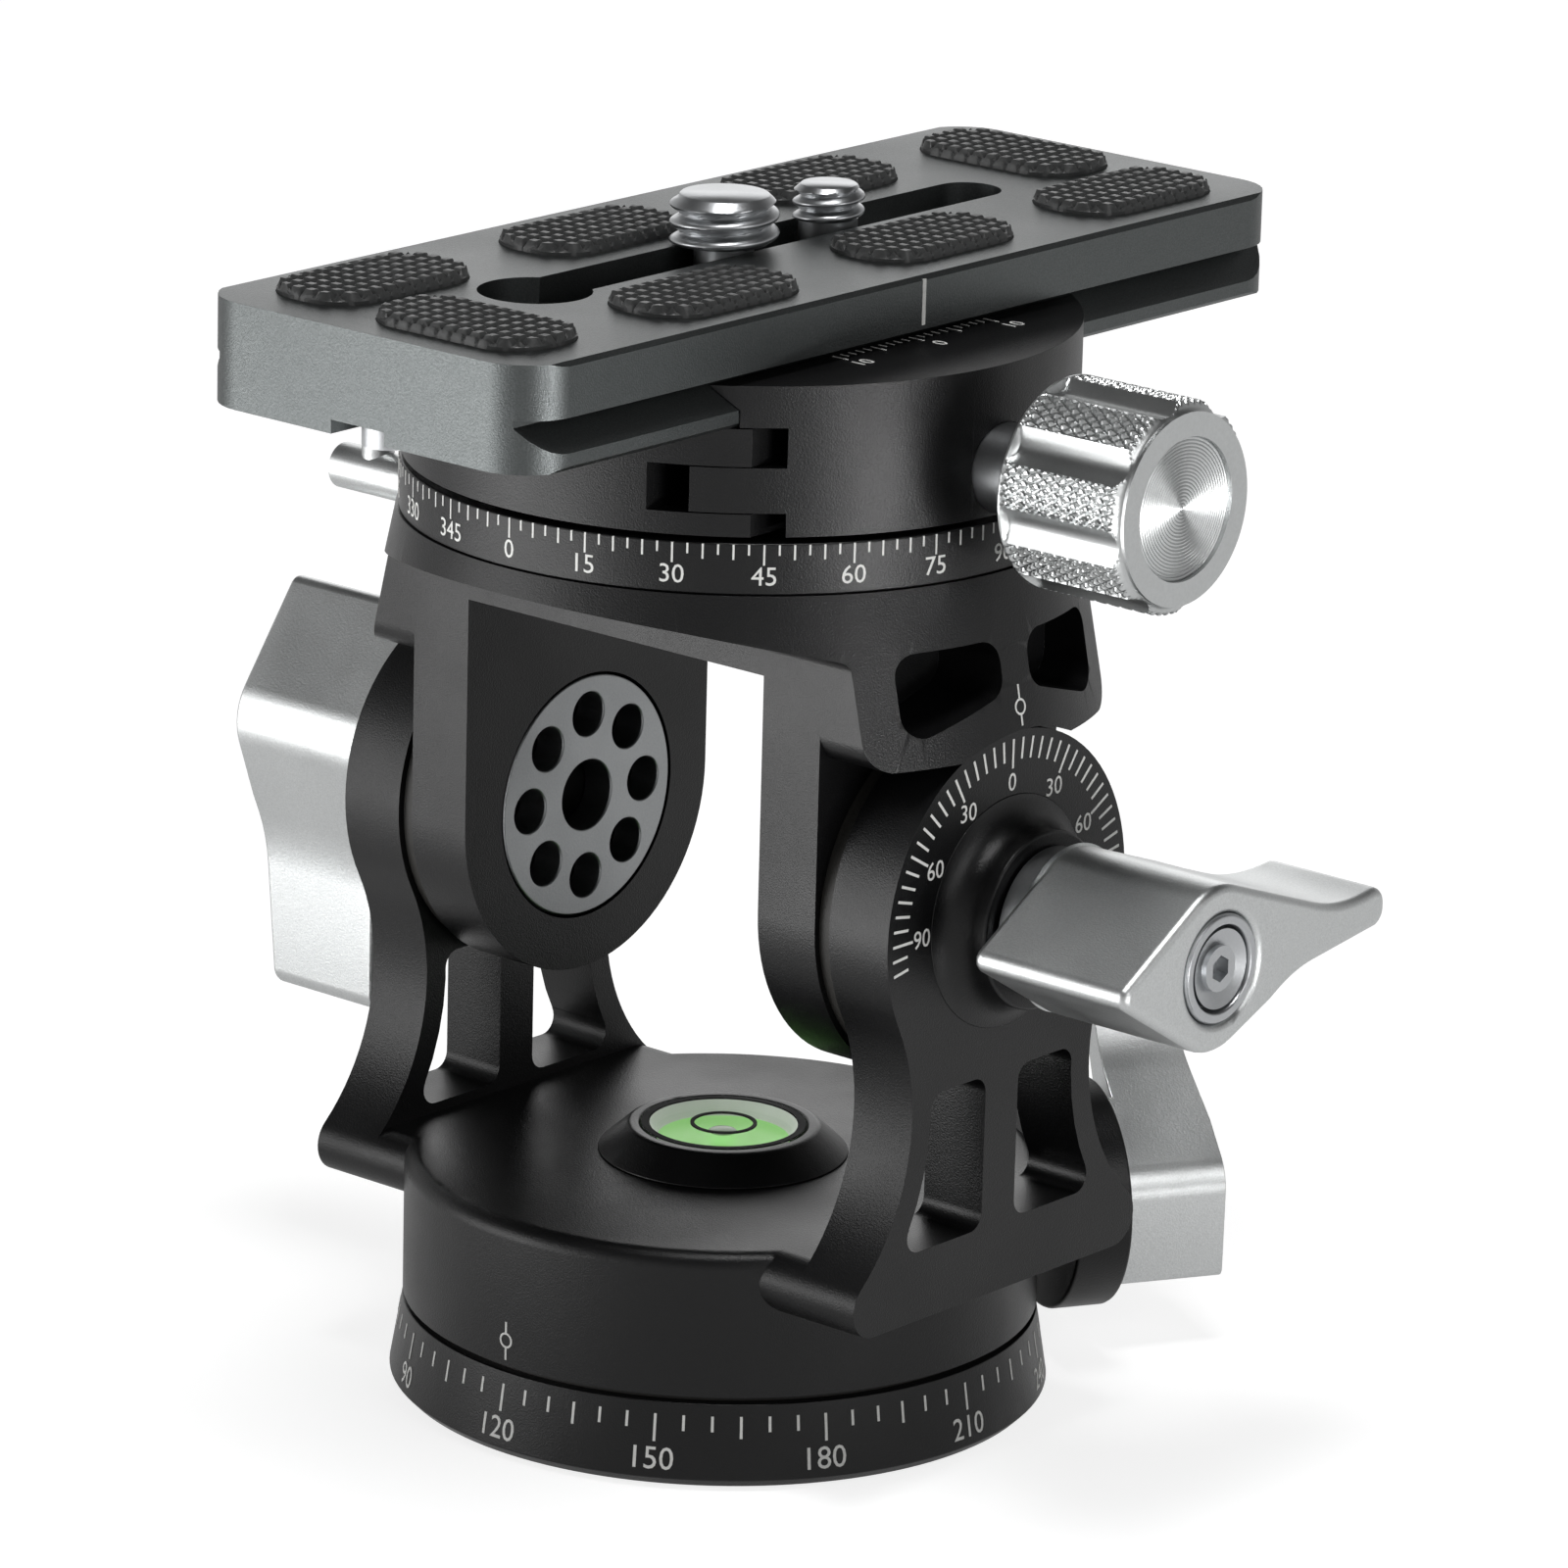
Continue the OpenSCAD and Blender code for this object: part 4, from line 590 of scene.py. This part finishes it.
def onYoke(side):
    # the skirt widens downwards from the yoke's top
    def lay(along, up, out):
        r = yokeCone["topR"] + (yokeCone["topZ"] - up) * yokeCone["flare"] + out
        return side * np.sqrt(r ** 2 - along ** 2), side * along, up
    return lay


for side, word in ((1, "right"), (-1, "left")):
    layMarks("tilt_index_" + word, indexMarks(*indexMark["tiltZ"]), onYoke(side), "yoke")

# upper scale on the ring: lines each 2.5 degrees, longer at 5 and 15, figures each 15
topScale = dict(radius=29.6, topZ=84.4, short=0.9, middle=1.3, long=1.75, width=0.17, figureZ=81.7,
                figureHigh=1.6)
marks = [scaleLines(topScale, topScale["radius"], np.arange(0, 360, 2.5), 15, 5)]
marks += [figures(str(v), math.radians(v) * topScale["radius"], topScale["figureZ"], topScale["figureHigh"])
          for v in range(0, 360, 15)]
layMarks("top_scale", marks, onDrum(topScale["radius"]), "yoke")

# plate: a centre line on each side, and a short millimetre scale beside it on the jaw
plateLine = dict(sideX=19.0, y=1.38, lowZ=99.3, highZ=103.3, width=0.45)
for side, word in ((1, "right"), (-1, "left")):
    layMarks("plate_line_" + word, [bars([(0, plateLine["lowZ"], 0, plateLine["highZ"], plateLine["width"])])],
             lambda a, u, o, side=side: (side * (plateLine["sideX"] + o), plateLine["y"] + a, u), "plate")
jawScale = dict(topZ=98.0, zeroY=1.2, startX=17.6, short=0.9, long=1.7, width=0.16, figureX=20.7,
                figureHigh=1.5, figureShift=0.4)
marks = [bars([(n, -jawScale["startX"], n, -jawScale["startX"] - jawScale["long" if n % 5 == 0 else "short"],
                jawScale["width"]) for n in range(-10, 11)])]
marks += [figures(str(abs(n)), n + jawScale["figureShift"], -jawScale["figureX"], jawScale["figureHigh"])
          for n in (-10, 0, 10)]
layMarks("jaw_scale", marks, lambda a, u, o: (-u, jawScale["zeroY"] + a, jawScale["topZ"] + o), "jaw")
print("scales and index marks laid")

# level: two printed rings on the vial, a bubble under them, and green spirit in a milky cup
levelSpot = dict(rimRadius=7.0, rimWidth=0.6, ringRadius=2.8, ringWidth=0.34, bubbleRadius=1.25,
                 bubbleHigh=0.25, bubbleDrop=0.5, bubbleAt=(0.5, -0.7), spiritGap=0.06, spiritDrop=0.55,
                 wallIn=0.7, wallThick=0.04, bubbleRows=17, bubbleAround=32)
levelLow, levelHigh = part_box("level_vial")
levelSpot["place"] = tuple((np.array(levelLow)[:2] + np.array(levelHigh)[:2]) / 2 / mm)
levelSpot["topZ"] = levelHigh[2] / mm
layMarks("level_ring", [circleLine(0, 0, levelSpot["ringRadius"], levelSpot["ringWidth"], 64),
                        circleLine(0, 0, levelSpot["rimRadius"], levelSpot["rimWidth"], 96)],
         lambda a, u, o: (levelSpot["place"][0] + a, levelSpot["place"][1] + u, levelSpot["topZ"] + o),
         "pan_body", inkLine)


def makeBubble(look):
    # a flattened ball: radius falls with the sine of the height angle
    around = np.linspace(0, 2 * np.pi, look["bubbleAround"], endpoint=False)
    u, v = np.meshgrid(np.linspace(0, np.pi, look["bubbleRows"]), around, indexing="ij")
    x = look["place"][0] + look["bubbleAt"][0] + look["bubbleRadius"] * np.sin(u) * np.cos(v)
    y = look["place"][1] + look["bubbleAt"][1] + look["bubbleRadius"] * np.sin(u) * np.sin(v)
    z = look["topZ"] - look["bubbleDrop"] + look["bubbleHigh"] * np.cos(u)
    addPiece("level_bubble", np.stack([x, y, z], -1).reshape(-1, 3), gridFaces(*u.shape, True),
             bubbleGas, "pan_body", "vial")


makeBubble(levelSpot)


def turnedRings(look, rings, count=96):
    # rings of (height, radius) turned about the level's axis
    rings, turn = np.array(rings), np.linspace(0, 2 * np.pi, count, endpoint=False)
    r, z = rings[:, 1:] * np.ones(count), rings[:, :1] * np.ones(count)
    points = np.stack([look["place"][0] + r * np.cos(turn), look["place"][1] + r * np.sin(turn), z], -1)
    return points.reshape(-1, 3), gridFaces(len(rings), count, True)


def makeSpirit(look):
    # a plain disc in the cup, and the cup's milky wall that shows above it on the far side
    low, high = (np.array(v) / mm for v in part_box("level_fluid"))
    wide, thick = (high - low)[0] / 2 - look["spiritGap"], look["wallThick"]
    radius, foot, top = wide - look["wallIn"], low[2] + look["spiritGap"], high[2] - look["spiritDrop"]
    addPiece("level_spirit", *turnedRings(look, [(foot, 0), (foot, radius), (top, radius), (top, 0)]), spirit,
             "pan_body", "level_fluid", ("level_fluid",))
    brim = look["topZ"] - look["spiritGap"]
    wall = [(brim, wide - thick), (top, radius - thick), (top, radius), (brim, wide), (brim, wide - thick)]
    # the wall is pale above the spirit through the painted glow of its material
    addPiece("level_wall", *turnedRings(look, wall), milkyWall, "pan_body", "vial")


makeSpirit(levelSpot)
print("level finished")

# stage: a white floor that keeps a soft shadow
stageLook = dict(halfSize=3.0, floorZ=-0.0002, floorColour="#a8a8a8", glow=0.8, sheenLeft=0.4, sheenRight=0.5,
                 sheenFrom=-0.12, sheenTo=0.12)  # metal sees the floor brighter on the lit side, m


def makeStage(look):
    material, tree = startMaterial("paper_floor_white")
    path = addNode(tree, "ShaderNodeLightPath")
    place = addNode(tree, "ShaderNodeSeparateXYZ", {
        "Vector": addNode(tree, "ShaderNodeTexCoord").outputs["Object"]})
    sheen = addNode(tree, "ShaderNodeMapRange", {
        "Value": place.outputs["X"], "From Min": look["sheenFrom"], "From Max": look["sheenTo"],
        "To Min": look["sheenLeft"], "To Max": look["sheenRight"]}, interpolation_type="SMOOTHSTEP")
    seen = addNode(tree, "ShaderNodeMath", {
        0: path.outputs["Is Camera Ray"], 1: path.outputs["Is Transmission Ray"]}, operation="MAXIMUM")
    glossy = addNode(tree, "ShaderNodeMath", {
        0: path.outputs["Is Glossy Ray"], 1: sheen.outputs[0]}, operation="MULTIPLY")
    glow = addNode(tree, "ShaderNodeMath", {
        0: seen.outputs[0], 1: look["glow"], 2: glossy.outputs[0]}, operation="MULTIPLY_ADD")
    shader = addNode(tree, "ShaderNodeBsdfPrincipled", {
        "Base Color": linear(look["floorColour"]), "Roughness": 0.9, "Emission Color": (1, 1, 1, 1),
        "Emission Strength": glow.outputs[0], "Specular IOR Level": 0.0})
    closeMaterial(tree, shader)
    h, z = look["halfSize"], look["floorZ"]
    mesh = bpy.data.meshes.new("floor")
    mesh.from_pydata([(-h, -h, z), (h, -h, z), (h, h, z), (-h, h, z)], [], [(0, 1, 2, 3)])
    mesh.materials.append(material)
    floor = bpy.data.objects.new("floor", mesh)
    bpy.context.scene.collection.objects.link(floor)


makeStage(stageLook)

# light: bright walls low on the left, a dimmer right side and a dark ceiling
roomLight = dict(
    height=[(0.0, 1.0), (0.66, 1.0), (0.8, 0.1), (1.0, 0.03)],
    leftX=-0.55, rightX=0.1, leftStrength=0.6, rightStrength=0.45,
)


def lightRoom(look):
    world = bpy.data.worlds.new("studio")
    bpy.context.scene.world = world
    world.use_nodes = True
    tree = world.node_tree
    tree.nodes.clear()
    aim = addNode(tree, "ShaderNodeTexCoord").outputs["Generated"]
    parts = addNode(tree, "ShaderNodeSeparateXYZ", {"Vector": aim})
    height = addNode(tree, "ShaderNodeMapRange", {
        "Value": parts.outputs["Z"], "From Min": -1.0, "From Max": 1.0})
    ramp = addNode(tree, "ShaderNodeValToRGB", {"Fac": height.outputs[0]})
    stops = ramp.color_ramp.elements
    while len(stops) < len(look["height"]):
        stops.new(0.5)
    for stop, (place, value) in zip(stops, look["height"]):
        stop.position, stop.color = place, (value, value, value, 1)
    side = addNode(tree, "ShaderNodeMapRange", {
        "Value": parts.outputs["X"], "From Min": look["leftX"], "From Max": look["rightX"],
        "To Min": look["leftStrength"], "To Max": look["rightStrength"]}, interpolation_type="SMOOTHSTEP")
    total = addNode(tree, "ShaderNodeMath", {0: ramp.outputs[0], 1: side.outputs[0]}, operation="MULTIPLY")
    room = addNode(tree, "ShaderNodeBackground", {"Color": (1, 1, 1, 1), "Strength": total.outputs[0]})
    white = addNode(tree, "ShaderNodeBackground", {"Color": (1, 1, 1, 1), "Strength": 1.0})
    path = addNode(tree, "ShaderNodeLightPath")
    both = addNode(tree, "ShaderNodeMixShader", {
        "Fac": path.outputs["Is Camera Ray"], 1: room.outputs[0], 2: white.outputs[0]})
    addNode(tree, "ShaderNodeOutputWorld", {"Surface": both.outputs[0]})


lightRoom(roomLight)

lamps = dict(
    frontLeft=dict(place=(-0.62, -0.78, 0.14), aim=(0, 0, 0.055), size=0.5, watts=3.2),
    # panels that lie on the floor: the first lights the left sides, the second a band on the drums
    lowPanel=dict(place=(-0.13, -0.24, 0.002), aim=(-0.13, -0.24, 1.0), size=0.24, watts=1.05),
    sidePanel=dict(place=(0.39, -0.04, 0.002), aim=(0.39, -0.04, 1.0), size=0.15, watts=2.5),
    # sheen on the flat tops
    backLeft=dict(place=(-0.62, 0.73, 0.34), aim=(0, 0, 0.055), size=0.6, watts=1.2),
    right=dict(place=(0.9, -0.1, 0.55), aim=(0, 0, 0.055), size=0.4, watts=1.5),
    top=dict(place=(0.1, -0.1, 0.95), aim=(0, 0, 0.055), size=0.25, watts=4.0),
)


def addLamp(name, look):
    data = bpy.data.lights.new(name, "AREA")
    data.size, data.energy = look["size"], look["watts"]
    lamp = bpy.data.objects.new(name, data)
    bpy.context.scene.collection.objects.link(lamp)
    lamp.location = look["place"]
    toward = Vector(look["aim"]) - Vector(look["place"])
    lamp.rotation_euler = toward.to_track_quat("-Z", "Y").to_euler()


for name, look in lamps.items():
    addLamp(name, look)
print("stage and light set")
